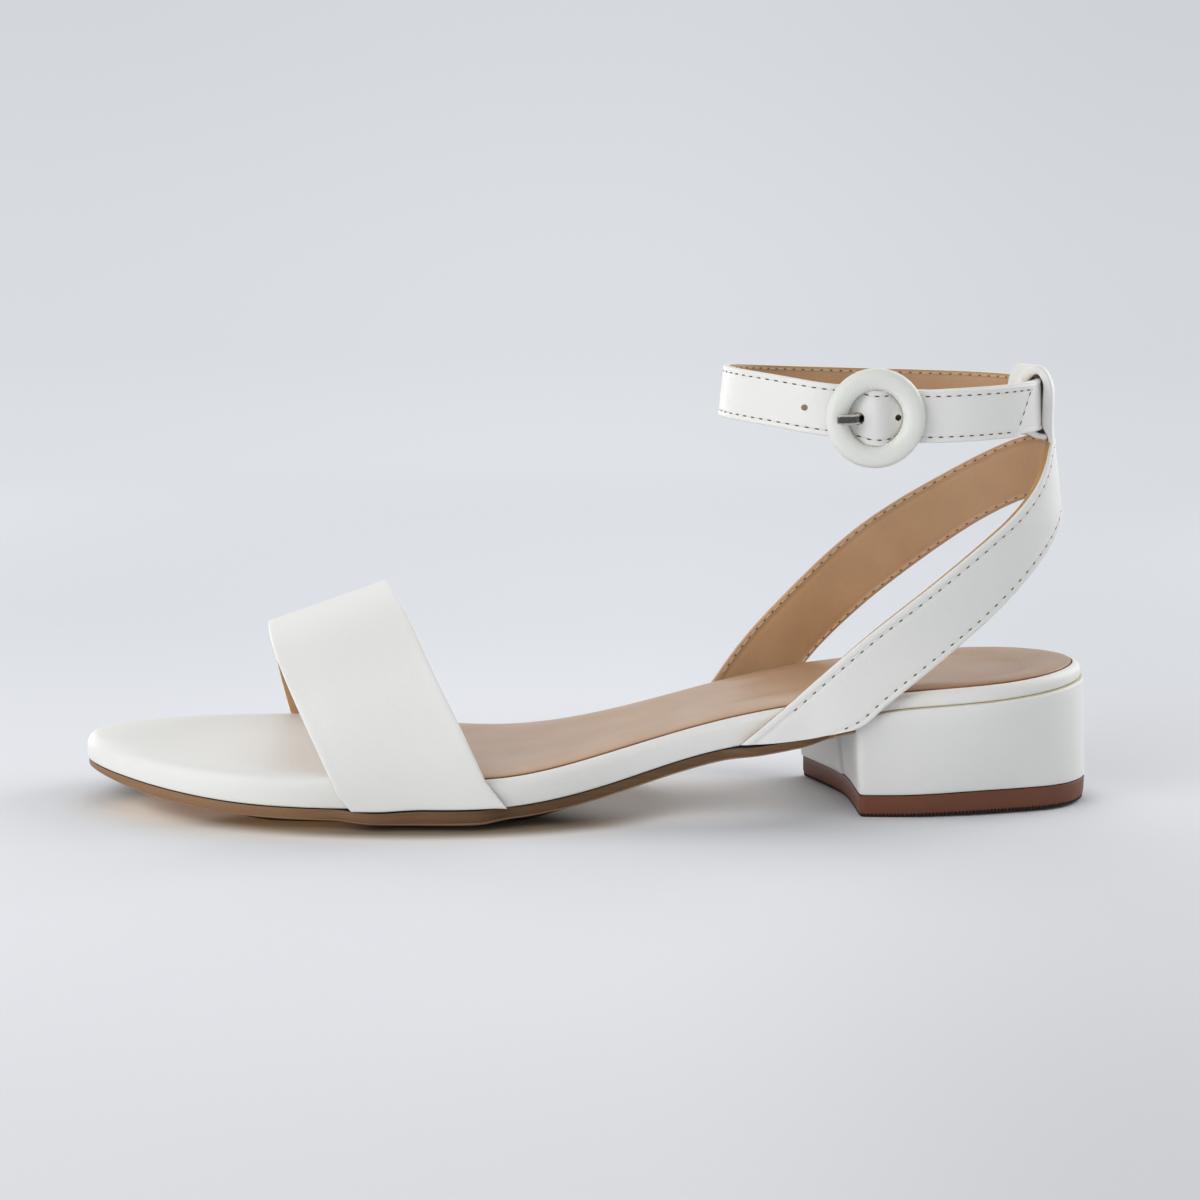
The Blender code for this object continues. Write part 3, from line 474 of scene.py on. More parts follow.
def smooth_step(low, high, value):
    """0 below low, 1 above high and a smooth rise between."""
    t = np.clip((np.asarray(value, float) - low) / (high - low), 0, 1)
    return t * t * (3 - 2 * t)


def ridge(centre, width, value):
    """Rounded ridge of height 1 at centre that fades out over width."""
    return np.exp(-((np.asarray(value, float) - centre) / width) ** 2)


def unit(vectors):
    """Vectors scaled to length 1."""
    return vectors / np.linalg.norm(vectors, axis=-1, keepdims=True)


def round_angles(count):
    """Even angles round a circle."""
    return np.linspace(0, 2 * math.pi, count, endpoint=False)


STATION_X = np.array([FOOT_LENGTH / 2 - row.station for row in LAST])[::-1]
under = spline(STATION_X, [row.under for row in LAST][::-1])
rim = spline(STATION_X, [row.rim for row in LAST][::-1])


def closed_outline(samples=4001):
    """The footbed's outline, from the heel tip along the lateral side and back, with its toe index."""
    lateral = [(FOOT_LENGTH / 2 - row.station, -row.lateral) for row in LAST]
    medial = [(FOOT_LENGTH / 2 - row.station, row.medial) for row in reversed(LAST)]
    ring = [HEEL_TIP] + lateral + [TOE_TIP] + medial
    curve, knots = closed_spline(ring, wrap=4)
    toe_share = (knots[len(lateral) + 1] - knots[0]) / (knots[-1] - knots[0])
    return curve(np.linspace(knots[0], knots[-1], samples)), int(round(toe_share * (samples - 1)))


OUTLINE, TOE_INDEX = closed_outline()
SIDES = {-1: OUTLINE[:TOE_INDEX + 1], 1: OUTLINE[TOE_INDEX:][::-1]}
SIDE_RUN = {side: chord_lengths(points) / chord_lengths(points)[-1] for side, points in SIDES.items()}


def edge_points(side, fractions, grow=0.0):
    """Outline points at fractions of the way from heel tip to toe tip, pushed outward by grow."""
    fractions = np.asarray(fractions, float)

    def at(f):
        return at_stops(f, SIDE_RUN[side], SIDES[side])

    place = at(fractions)
    along = unit(at(fractions + EDGE_REACH) - at(fractions - EDGE_REACH))
    outward = side * np.stack([along[..., 1], -along[..., 0]], axis=-1)
    out = grow(place[..., 0], side) if callable(grow) else grow
    return place + outward * np.asarray(out)[..., None]


def edge_fraction(side, x):
    """Fraction of the way along a side where the outline passes x."""
    return np.interp(-x, -SIDES[side][:, 0], SIDE_RUN[side])


def edge_y(side, x):
    """Half width of the outline at x, on the side of each point."""
    lateral = -np.interp(x, SIDES[-1][::-1, 0], SIDES[-1][::-1, 1])
    medial = np.interp(x, SIDES[1][::-1, 0], SIDES[1][::-1, 1])
    return np.where(side < 0, lateral, medial)


def end_row(kind, fractions, cols, grow):
    """First or last row of a plan grid: the round tip, or a cut with a bow."""
    t = np.linspace(0, 1, cols + 1)
    if kind is None:
        turn = 2 * t - 1
        tip = 0.0 if fractions[-1] < 0.5 else 1.0
        rows = {side: edge_points(side, tip + (fractions[side] - tip) * abs(turn), grow)
                for side in (-1, 1)}
        return np.where((turn < 0)[:, None], rows[-1], rows[1])
    ends = [edge_points(side, fractions[side], grow) for side in (-1, 1)]
    row = ends[0] + t[:, None] * (ends[1] - ends[0])
    row[:, 0] += kind[2] * 4 * t * (1 - t)
    return row


def plan_grid(heel_end, toe_end, rows, cols, grow=0.0):
    """Plan points in rows across the outline; an end is None for the tip or (x, x, bow) for a cut."""
    ends = []
    for kind, tip in ((heel_end, 0.0), (toe_end, 1.0)):
        if kind is None:
            fraction = abs(tip - TIP_ARC)
            ends.append({-1: fraction, 1: fraction})
        else:
            ends.append({-1: edge_fraction(-1, kind[0]), 1: edge_fraction(1, kind[1])})
    f = np.linspace(0, 1, rows + 1)
    lateral, medial = [edge_points(s, ends[0][s] + (ends[1][s] - ends[0][s]) * f, grow) for s in (-1, 1)]
    grid = lateral[:, None] + np.linspace(0, 1, cols + 1)[None, :, None] * (medial - lateral)[:, None]
    bow_rows = int(rows * BOW_SHARE)
    for k, kind, fractions, step in ((0, heel_end, ends[0], 1), (rows, toe_end, ends[1], -1)):
        bow = end_row(kind, fractions, cols, grow) - grid[k]
        for back in range(bow_rows):
            grid[k + back * step] += bow * (1 - back / bow_rows) ** 2
    return grid


def boundary(grid):
    """Closed loop around a grid of points."""
    return np.concatenate([grid[0], grid[1:, -1], grid[-1, -2::-1], grid[-2:0:-1, 0]])


def inward(loop):
    """Direction into a closed plan loop at each of its points, scaled for an even inset."""
    before = unit(loop - np.roll(loop, 1, axis=0))
    after = np.roll(before, -1, axis=0)
    left = [np.stack([-v[:, 1], v[:, 0]], axis=1) for v in (before, after)]
    return (left[0] + left[1]) / (1 + np.sum(left[0] * left[1], axis=1, keepdims=True))


def placed(name, data):
    """Object for a mesh, a lamp or the camera, linked to the scene."""
    thing = bpy.data.objects.new(name, data)
    bpy.context.scene.collection.objects.link(thing)
    return thing


class Form:
    """Points and faces of one piece; each face has the number of its finish."""

    def __init__(self):
        self.points = []
        self.faces = []
        self.finishes = []
        self.count = 0

    def add(self, points):
        """New points, given back as an array of their numbers."""
        points = np.asarray(points, float)
        shape = points.shape[:-1]
        index = self.count + np.arange(int(np.prod(shape))).reshape(shape)
        self.points.append(points.reshape(-1, 3))
        self.count += index.size
        return index

    def face(self, corners, finish):
        """One face."""
        self.faces.append([int(c) for c in corners])
        self.finishes.append(finish)

    def grid(self, index, finish):
        """Quads of a grid of point numbers."""
        corners = np.stack([index[:-1, :-1], index[:-1, 1:], index[1:, 1:], index[1:, :-1]], axis=-1)
        quads = corners.reshape(-1, 4).tolist()
        self.faces.extend(quads)
        self.finishes.extend([finish] * len(quads))

    def ring(self, low, high, finish):
        """Quads between two closed loops of point numbers; finish is one number or one for each quad."""
        quads = np.stack([low, np.roll(low, -1), np.roll(high, -1), high], axis=-1).tolist()
        self.faces.extend(quads)
        self.finishes.extend(np.broadcast_to(finish, len(quads)).tolist())

    def fan(self, loop, centre, finish):
        """Triangles from a closed loop to a point inside it."""
        hub = int(self.add([centre])[0])
        for a, b in zip(loop.tolist(), np.roll(loop, -1).tolist()):
            self.face((a, b, hub), finish)

    def mesh(self, name, finishes):
        """Mesh in metres in the frame, with outward faces."""
        mesh = bpy.data.meshes.new(name)
        mesh.from_pydata(((np.concatenate(self.points) - ORIGIN) * MM).tolist(), [], self.faces)
        for finish in finishes:
            mesh.materials.append(finish)
        mesh.polygons.foreach_set("material_index", self.finishes)
        work = bmesh.new()
        work.from_mesh(mesh)
        bmesh.ops.recalc_face_normals(work, faces=work.faces)
        work.to_mesh(mesh)
        work.free()
        return mesh

    def piece(self, name, finishes, slot, replaces=(), sharp=45.0):
        """Smooth object that rides on the shoe."""
        mesh = self.mesh(name, finishes)
        mesh.shade_smooth()
        mesh.set_sharp_from_angle(angle=math.radians(sharp))
        piece = placed(name, mesh)
        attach(piece, "root")
        if replaces:
            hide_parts(*replaces)
        return piece


class Wire:
    """A shader socket in Python expressions; sums with wires and numbers add Math nodes."""

    def __init__(self, paint, socket):
        self.paint = paint
        self.socket = socket

    def maths(self, operation, first, second):
        return self.paint.node("ShaderNodeMath", {"operation": operation}, {0: first, 1: second})

    def __add__(self, other):
        return self.maths("ADD", self, other)

    def __radd__(self, other):
        return self.maths("ADD", other, self)

    def __sub__(self, other):
        return self.maths("SUBTRACT", self, other)

    def __rsub__(self, other):
        return self.maths("SUBTRACT", other, self)

    def __mul__(self, other):
        return self.maths("MULTIPLY", self, other)

    def __rmul__(self, other):
        return self.maths("MULTIPLY", other, self)

    def __truediv__(self, other):
        return self.maths("DIVIDE", self, other)

    def __rtruediv__(self, other):
        return self.maths("DIVIDE", other, self)


class Paint:
    """Nodes of one finish around its main shader. Colours are three numbers or a wire."""

    def __init__(self, name, **constants):
        self.material = bpy.data.materials.new(name)
        self.material.use_nodes = True
        self.tree = self.material.node_tree
        self.shader = self.tree.nodes["Principled BSDF"]
        self.set(**constants)

    def node(self, kind, settings, sockets, out=0):
        """A node with its settings made first and its sockets fed with values or wires."""
        made = self.tree.nodes.new(kind)
        for key, value in settings.items():
            setattr(made, key, value)
        for key, value in sockets.items():
            self.feed(made.inputs[key], value)
        return Wire(self, made.outputs[out])

    def feed(self, socket, value):
        """Links a wire to a socket, or sets a value on it."""
        if isinstance(value, Wire):
            self.tree.links.new(value.socket, socket)
        else:
            socket.default_value = value

    def set(self, **sockets):
        """Feeds the main shader's sockets, named in small letters."""
        for socket, value in sockets.items():
            title = socket.replace("_", " ").title().replace("Ior", "IOR")
            self.feed(self.shader.inputs[title], value)

    def spot(self):
        """Position on the piece in metres."""
        return self.node("ShaderNodeTexCoord", {}, {}, out="Object")

    def place(self, stretch=(1.0, 1.0, 1.0)):
        """Position on the shoe in metres, stretched along its axes."""
        return self.node("ShaderNodeVectorMath", {"operation": "MULTIPLY"}, {0: self.spot(), 1: stretch})

    def noise(self, size, detail=2.0, stretch=(1.0, 1.0, 1.0)):
        """Soft noise with features of a size in millimetres, 0 to 1."""
        return self.node("ShaderNodeTexNoise", {}, {
            "Vector": self.place(stretch), "Scale": 1 / (size * MM),
            "Detail": detail, "Roughness": 0.5,
        })

    def cells(self, size):
        """Small rounded cells of a size in millimetres, as in leather grain."""
        return self.node("ShaderNodeTexVoronoi", {"feature": "SMOOTH_F1"}, {
            "Vector": self.place(), "Scale": 1 / (size * MM), "Smoothness": 0.6,
        })

    def between(self, value, low, high):
        """Smooth rise from 0 to 1 between two values."""
        return self.node("ShaderNodeMapRange", {"interpolation_type": "SMOOTHSTEP"}, {
            "Value": value, "From Min": low, "From Max": high,
        })

    def axes(self):
        """The position's three parts in metres."""
        parts = self.node("ShaderNodeSeparateXYZ", {}, {0: self.spot()}).socket.node.outputs
        return [Wire(self, part) for part in parts]

    def mix(self, share, first, second):
        """Colour between two colours, which have the node's sockets 6 and 7 and its output 2."""
        first, second = (c if isinstance(c, Wire) else (*c, 1.0) for c in (first, second))
        return self.node("ShaderNodeMix", {"data_type": "RGBA"}, {0: share, 6: first, 7: second}, out=2)

    def finish(self, tone, roughness, relief, depth, strength):
        """Feeds the main shader with colour, roughness and a relief of a depth in millimetres."""
        normal = self.node("ShaderNodeBump", {}, {
            "Height": relief, "Distance": depth * MM, "Strength": strength,
        })
        self.set(base_color=tone, roughness=roughness, normal=normal)
        return self.material


def white_leather(name, cool, warm, gloss):
    """Smooth white leather with a fine grain, a little uneven in tone and gloss."""
    paint = Paint(name)
    speckle = paint.noise(0.9)
    tone = paint.mix(0.75 * paint.noise(26.0, detail=3.0) + 0.25 * speckle, cool, warm)
    roughness = gloss + 0.1 * paint.noise(5.0) + 0.05 * speckle
    creases = paint.noise(2.4, detail=3.0, stretch=(1.7, 1.0, 0.6))
    grain = 0.4 * paint.cells(0.6) + 0.25 * paint.noise(0.3, detail=3.0) + 0.5 * creases
    return paint.finish(tone, roughness, grain, 0.12, 0.75)


def tan_leather(name, dark, light, gloss, grain_depth, coat=0.0, heel=None):
    """Tan lining leather with clouded colour, a fine grain, perhaps a satin coat and a heel darkened as
    painted shade.
    """
    paint = Paint(name, coat_weight=coat, coat_roughness=0.22)
    cloud = paint.between(paint.noise(14.0, detail=3.0), 0.25, 0.75)
    fleck = paint.noise(0.45)
    tone = paint.mix(0.45 * cloud + 0.55 * fleck, dark, light)
    # Painted shade: the tone darkens towards the heel.
    if heel:
        x, _, _ = paint.axes()
        tone = paint.mix(paint.between(x, 0.045, 0.085), tone, paint.mix(fleck, heel, dark))
    grain = 0.6 * paint.cells(0.5) + 0.4 * paint.noise(0.25, detail=3.0)
    return paint.finish(tone, gloss + 0.12 * fleck - 0.08 * cloud, grain, grain_depth, 0.6)


def moulded(name, dark, light, gloss, streak, painted_waist_shade=None):
    """Moulded sole material with streaks drawn out along the edge, and a painted shade that darkens it from
    the ball backwards, under the arch.
    """
    paint = Paint(name, specular_ior_level=0.25)
    streaks = paint.noise(0.7, detail=4.0, stretch=(streak, streak, 1.0))
    cloud = paint.noise(12.0)
    tone = paint.mix(0.6 * streaks + 0.4 * cloud, dark, light)
    # Painted shade: the colour darkens from behind the toe back to the arch and stays dark to the heel.
    if painted_waist_shade:
        x, _, _ = paint.axes()
        tone = paint.mix(paint.between(x, -0.095, -0.02), tone, paint.mix(streaks, painted_waist_shade, dark))
    return paint.finish(tone, gloss + 0.15 * streaks, streaks, 0.06, 0.6)


def thread(name, dark, light):
    """Twisted sewing thread."""
    paint = Paint(name)
    twist = paint.noise(0.18, detail=1.0)
    return paint.finish(paint.mix(twist, dark, light), 0.75 + 0.2 * twist, twist, 0.03, 0.6)


def polished_metal(name, level=None):
    """Plated buckle metal with faint rubbing marks, and painted highlights that lighten its edges above and
    below a level.
    """
    paint = Paint(name, metallic=1.0)
    rubbed = paint.noise(0.5, detail=3.0, stretch=(0.3, 1.0, 1.0))
    tone = paint.mix(rubbed, (0.06, 0.058, 0.06), (0.15, 0.145, 0.145))
    if level:
        _, _, z = paint.axes()
        above = paint.between(z, (level + HIGHLIGHT_BAND[0]) * MM, (level + HIGHLIGHT_BAND[1]) * MM)
        below = paint.between(z, (level - HIGHLIGHT_BAND[0]) * MM, (level - HIGHLIGHT_BAND[1]) * MM)
        # Painted highlight: the prong is lighter and less metallic towards its top and bottom edges.
        painted_highlight = above + 0.8 * below
        tone = paint.mix(painted_highlight, tone, (0.66, 0.63, 0.55))
        paint.set(metallic=1 - 0.8 * painted_highlight)
    return paint.finish(tone, 0.2 + 0.14 * rubbed, rubbed, 0.01, 0.4)


WHITE = white_leather("white_leather", (0.81, 0.81, 0.78), (0.84, 0.835, 0.805), 0.4)
RING_WHITE = white_leather("ring_leather", (0.78, 0.79, 0.735), (0.82, 0.825, 0.775), 0.36)
LINING = tan_leather("tan_lining", (0.43, 0.25, 0.125), (0.56, 0.35, 0.19), 0.45, 0.05)
LINING_EDGE = tan_leather("lining_edge", (0.36, 0.19, 0.06), (0.56, 0.34, 0.13), 0.6, 0.04)
HEEL_LINE = tan_leather("heel_line", (0.60, 0.54, 0.40), (0.74, 0.68, 0.53), 0.6, 0.04)
# The sock's tone darkens towards the heel as painted shade in the heel cup.
SOCK = tan_leather("tan_sock", (0.455, 0.284, 0.17), (0.505, 0.328, 0.204), 0.36, 0.03,
                   coat=0.12, heel=(0.25, 0.13, 0.06))
# Dark olive painted shade: the ring's inner lip where the strap meets it, and the walls of the holes cut in
# the strap.
PAINTED_GAP_SHADE = tan_leather("painted_gap_shade", (0.20, 0.17, 0.08), (0.33, 0.29, 0.16), 0.6, 0.03)
SOCK_LINE = tan_leather("sock_edge", (0.20, 0.065, 0.02), (0.36, 0.15, 0.055), 0.6, 0.04)
# The outsole's colour darkens towards the arch and heel as painted shade.
SOLE = moulded("brown_sole", (0.20, 0.105, 0.05), (0.33, 0.19, 0.105), 0.5, 0.05,
               painted_waist_shade=(0.07, 0.037, 0.018))
# A near-black band along the top of the outsole, under the wrap.
SOLE_DARK_LINE = moulded("sole_dark_top_line", (0.012, 0.011, 0.018), (0.04, 0.03, 0.035), 0.6, 0.1)
SOLE_FEATHER = moulded("sole_bottom_edge", (0.30, 0.19, 0.11), (0.48, 0.32, 0.20), 0.6, 0.1)
# Near-black underside: partly its own colour and partly painted shade, seen as a dark line under the sole's
# edge.
SOLE_TREAD_AND_SHADE = moulded("sole_underside_and_shade", (0.05, 0.033, 0.022), (0.10, 0.066, 0.044), 0.6, 0.4)
LIFT = moulded("heel_lift", (0.125, 0.042, 0.021), (0.19, 0.072, 0.04), 0.42, 0.2)
# Near-black: painted shade on the lift's teeth, and the colour of its top face.
LIFT_DARK = moulded("lift_teeth_painted_shade", (0.02, 0.01, 0.008), (0.05, 0.025, 0.02), 0.6, 0.2)
WHITE_THREAD = thread("white_thread", (0.76, 0.75, 0.72), (0.84, 0.83, 0.80))
BEIGE_THREAD = thread("beige_thread", (0.50, 0.36, 0.23), (0.66, 0.51, 0.36))
# Needle holes: small raised grains painted dark as the shade inside the holes.
PAINTED_HOLE_SHADE = thread("painted_hole_shade", (0.06, 0.04, 0.016), (0.17, 0.12, 0.055))
TAN_PAINTED_HOLE_SHADE = thread("lining_painted_hole_shade", (0.10, 0.05, 0.025), (0.20, 0.11, 0.055))
SEWING = [WHITE_THREAD, BEIGE_THREAD, PAINTED_HOLE_SHADE, TAN_PAINTED_HOLE_SHADE]
OUTSIDE = (0, 2)
INSIDE = (1, 3)
LINED = [WHITE, LINING_EDGE, LINING]
METAL = polished_metal("buckle_metal")
# The prong's finish paints highlights along its top and bottom edges.
PRONG_METAL = polished_metal("prong_metal", RING_CENTRE[2] - PRONG_DROP)


def sling_plan(at, z):
    """Plan points of the sling at distances from the back seam, lateral side negative."""
    at, z = np.broadcast_arrays(np.asarray(at, float), np.asarray(z, float))
    turn = np.linspace(0, math.pi / 2, 200)
    side = np.where(at < 0, -1, 1)
    x = np.zeros_like(at)
    y = np.zeros_like(at)
    angle = np.zeros_like(at)
    for sign, half in zip((-1, 1), SLING_HALF):
        ring = np.stack([SLING_CENTRE_X + SLING_REACH * np.cos(turn), half * np.sin(turn)], axis=1)
        run = chord_lengths(ring)
        here = side == sign
        bent = np.interp(abs(at), run, turn)
        past = np.maximum(abs(at) - run[-1], 0)
        angle[here] = bent[here]
        x[here] = (SLING_CENTRE_X + SLING_REACH * np.cos(bent) - past)[here]
        y[here] = (half * np.sin(bent))[here]
    x = x - SLING_LEAN * np.maximum(z - SLING_LEAN_FROM, 0) * np.cos(angle)
    clear = GAP + HEEL_PROUD * smooth_step(*SLING_OVER_HEEL, x) + SLING_WALL / 2 + STRAP_SLACK
    foot_y = edge_y(side, np.minimum(x, SLING_HUGS_TO)) + clear
    lift = smooth_step(*SLING_LIFT, z)
    return np.stack([x, side * (foot_y + (y - foot_y) * lift)], axis=-1)


def strap_zone(x, side):
    """1 where a strap tucks in above the outsole, 0 elsewhere, smooth between."""
    vamp_end = VAMP[0] if side < 0 else VAMP[-1]
    sling_end = SLING[0] if side < 0 else SLING[-1]
    sling_front = sling_plan(sling_end.upper_at, sling_end.upper_z)[0]
    sling_back = sling_plan(sling_end.lower_at, sling_end.lower_z)[0]
    zone = 0.0
    for front, back in ((vamp_end.front, vamp_end.back), (sling_front, sling_back)):
        starts = smooth_step(front + TUCK_FRONT[0], front + TUCK_FRONT[1], x)
        ends = smooth_step(back + TUCK_BACK[0], back + TUCK_BACK[1], x)
        zone = zone + starts * (1 - ends)
    return zone


def sole_flange(x, side):
    """Width of the outsole beyond the footbed, more under the straps."""
    return (STRAP_FLANGE + SOLE_SET_IN) * strap_zone(x, side) - SOLE_SET_IN


def tuck(grid):
    """How far the outsole's rim is pressed down under the straps."""
    x = grid[..., 0]
    return STRAP_TUCK * np.where(grid[..., 1] < 0, strap_zone(x, -1), strap_zone(x, 1))


def welt(x, lateral):
    """How far the outsole's lateral rim stands up under the vamp's end."""
    return WELT * smooth_step(*WELT_FRONT, x) * (1 - smooth_step(*WELT_BACK, x)) * lateral


def slab(layers):
    """Form through plan layers from bottom to top, each a grid, its heights and its finish."""
    form = Form()
    loops = []
    for k, (grid, heights, finish) in enumerate(layers):
        solid = np.dstack([grid, np.broadcast_to(heights, grid.shape[:2])])
        if k in (0, len(layers) - 1):
            index = form.add(solid)
            form.grid(index, finish)
            loops.append(boundary(index))
        else:
            loops.append(form.add(boundary(solid)))
    for low, high, (grid, _, finish) in zip(loops, loops[1:], layers[1:]):
        form.ring(low, high, finish(boundary(grid)[:, 0]) if callable(finish) else finish)
    return form


def heel_dish(grid):
    """How far the seat is hollowed at the heel."""
    return HEEL_DISH * smooth_step(*DISH_SPAN, grid[..., 0])


def make_footbed():
    """White wrapped footbed: rolled rim along the sock, thick padded roll round the toe."""
    def plan(inset, toe_inset):
        def set_in(x, side):
            return -inset - (toe_inset - inset) * smooth_step(*TOE_WRAP, x)
        return plan_grid(None, None, *FOOTBED_GRID, grow=set_in)

    def seat(grid, crown_share):
        x = grid[..., 0]
        recess = smooth_step(RECESS_FRONT, RECESS_FRONT + RECESS_RUN, x)
        crown = smooth_step(*TOE_WRAP, x)
        return rim(x) - SOCK_RECESS * recess + TOE_CROWN * crown_share * crown

    def heel_line(x):
        return (x > BREAST[0]).astype(int)

    layers = []
    for inset, rise, finish in ((2.5, 0.0, 0), (1.2, 0.0, heel_line), (0.3, 0.04, heel_line),
                                (0.12, 0.16, heel_line), (0.04, 0.5, 0)):
        grid = plan(inset, inset)
        layers.append((grid, under(grid[..., 0]) + rise, finish))
    for row in WRAP:
        grid = plan(row.inset, row.toe_inset)
        toe = smooth_step(*TOE_WRAP, grid[..., 0])
        layers.append((grid, rim(grid[..., 0]) - row.drop - (row.toe_drop - row.drop) * toe, 0))
    for inset, toe_inset, crown_share in ((2.0, 5.6, 0.2), (3.0, 8.0, 0.5), (DISH_INSET, 12.0, 0.9)):
        grid = plan(inset, toe_inset)
        dish = heel_dish(grid) * (inset == DISH_INSET)
        layers.append((grid, seat(grid, crown_share) - dish, 0))
    return slab(layers).piece("footbed_wrap", [WHITE, HEEL_LINE], "white_leather", ["footbed"])


def make_sock():
    """Padded tan sock in the footbed's recess, its edge pillowed and its heel hollowed."""
    def plan(inset):
        front = (SOCK_FRONT[0] + inset, SOCK_FRONT[1] + inset, SOCK_FRONT[2])
        return plan_grid(None, front, *SOCK_GRID, grow=-SOCK_INSET - inset)

    low = plan(SOCK_FOOT_INSET)
    layers = [(low, rim(low[..., 0]) - SOCK_RECESS + SOCK_FOOT_PLAY, 0)]
    for number, row in enumerate(SOCK_EDGE):
        grid = plan(row.inset)
        sink = heel_dish(grid) * smooth_step(*SINK_INSETS, row.inset)
        layers.append((grid, rim(grid[..., 0]) + row.rise - sink, int(number in SOCK_LINE_ROWS)))
    top = plan(DISH_INSET)
    across = np.sin(np.linspace(0, math.pi, top.shape[1]))[None]
    along = np.sin(np.linspace(0, math.pi, top.shape[0]))[:, None]
    hollow = SOCK_HOLLOW * smooth_step(*HOLLOW_ACROSS, across) * smooth_step(*HOLLOW_ALONG, along)
    middle_sink = SINK_MIDDLE * across * smooth_step(*SINK_ALONG, along)
    sink = heel_dish(top) * (smooth_step(*SINK_INSETS, DISH_INSET) + middle_sink)
    layers.append((top, rim(top[..., 0]) + SOCK_RISE - hollow - sink, 0))
    sock = slab(layers).piece("padded_sock", [SOCK, SOCK_LINE], "tan_sock", ["insole_sock"])
    return sock


def breast(lean):
    """Heel breast as a cut across the outline, leaning forward by lean."""
    return (BREAST[0] - lean, BREAST[1] - lean, BREAST[2])


def make_outsole():
    """Brown outsole: a near-black line under the wrap, streaked edge, pale feathered bottom edge."""
    def plan(inset):
        return plan_grid(breast(BREAST_LEAN - SOLE_END_PLAY + inset), None, *SOLE_GRID,
                         grow=lambda x, side: sole_flange(x, side) - inset)

    def top(grid):
        return under(grid[..., 0]) - GAP / 2

    def bottom(grid):
        x = grid[..., 0]
        to_heel = (SOLE_THIN_END - SOLE_THICKNESS) * smooth_step(*SOLE_THIN_SPAN, x)
        to_toe = (SOLE_TOE - SOLE_THICKNESS) * (1 - smooth_step(*SOLE_TOE_SPAN, x))
        end = SOLE_END_DROP * smooth_step(*SOLE_END_SPAN, x)
        return under(x) - GAP - SOLE_THICKNESS - to_heel - to_toe - end

    def belly(grid):
        x = grid[..., 0]
        bulge = smooth_step(*BELLY_FRONT, x) * (1 - smooth_step(*BELLY_BACK, x))
        return np.maximum(bottom(grid) - SOLE_BELLY * bulge, 0.0)

    def rim_bottom(grid):
        return np.maximum(bottom(grid) - tuck(grid), belly(grid))

    def pressed_top(grid):
        return top(grid) - tuck(grid) + welt(grid[..., 0], grid[..., 1] < 0)

    layers = []
    # Finish 3, the near-black underside, also serves as painted shade under the sole's edge.
    for inset, share, drop, finish in (
        (2.0, 0.0, 0.0, 3),
        (0.9, 0.04, 0.0, 3),
        (0.35, 0.12, 0.0, 2),
        (0.08, 0.22, 0.0, 2),
        (0.0, 0.32, 0.0, 0),
        (0.0, 1.0, 0.22, 0),
        (0.04, 1.0, 0.15, 0),
        (0.2, 1.0, 0.04, 1),
        (1.2, 1.0, 0.02, 1),
    ):
        grid = plan(inset)
        low = rim_bottom(grid)
        layers.append((grid, low + share * (pressed_top(grid) - low) - drop, finish))
    grid = plan(BELLY_INSET)
    layers.insert(0, (grid, belly(grid), 3))
    grid = plan(SEAT_INSET)
    layers.append((grid, top(grid), 1))
    finishes = [SOLE, SOLE_DARK_LINE, SOLE_FEATHER, SOLE_TREAD_AND_SHADE]
    return slab(layers).piece("brown_outsole", finishes, "outsole", ["outsole"])


def heel_loop(lean, count=HEEL_POINTS):
    """Closed plan loop of the heel with rounded breast corners, and its share along the breast."""
    cut = breast(lean)
    ends = {s: edge_fraction(s, cut[0] if s < 0 else cut[1]) for s in (-1, 1)}
    lateral = edge_points(-1, np.linspace(ends[-1], 0, HEEL_SIDE_STEPS), HEEL_PROUD)
    medial = edge_points(1, np.linspace(0, ends[1], HEEL_SIDE_STEPS), HEEL_PROUD)
    t = np.linspace(0, 1, BREAST_STEPS)
    front = medial[-1] + t[:, None] * (lateral[0] - medial[-1])
    notch = NOTCH_LIP - np.sqrt((2 * t - 1) ** 2 + NOTCH_ROUND)
    front[:, 0] += BREAST_NOTCH * np.maximum(notch, 0.0)
    path = np.concatenate([lateral, medial[1:], front[1:]])
    run = chord_lengths(path)
    share = np.concatenate([np.full(len(lateral) + len(medial) - 1, -1.0), 1 - t[1:]])
    stops = np.linspace(0, run[-1], count, endpoint=False)
    loop = at_stops(stops, run, path)
    reach = int(4 * CORNER_ROUND / (run[-1] / count))
    offsets = np.arange(-reach, reach + 1)
    weights = np.exp(-0.5 * (offsets * run[-1] / count / CORNER_ROUND) ** 2)
    smooth = sum(w * np.roll(loop, -k, axis=0) for k, w in zip(offsets, weights)) / weights.sum()
    return smooth, np.interp(stops, run, share)


def stack_loops(layers):
    """Form through closed plan loops from bottom to top, each with its heights and its finish."""
    form = Form()
    loops = [form.add(np.column_stack([plan, heights])) for plan, heights, _ in layers]
    for low, high, layer in zip(loops, loops[1:], layers[1:]):
        form.ring(low, high, layer[2])
    for loop, layer in ((loops[0], layers[0]), (loops[-1], layers[-1])):
        form.fan(loop, (*HEEL_CENTRE, float(np.mean(layer[1]))), layer[2])
    return form


def heel_rise(x):
    """Height of the heel's bottom over the floor, a little more towards the back."""
    return HEEL_RISE * smooth_step(*HEEL_RISE_SPAN, x)


def narrowed(loop, share):
    """Heel loop drawn in from both sides, in full at the lift and not at all at the seat."""
    breast_share, back_share = HEEL_NARROW
    narrow = breast_share + (back_share - breast_share) * smooth_step(*HEEL_NARROW_SPAN, loop[:, 0])
    return np.column_stack([loop[:, 0], loop[:, 1] * (1 - narrow * share)])


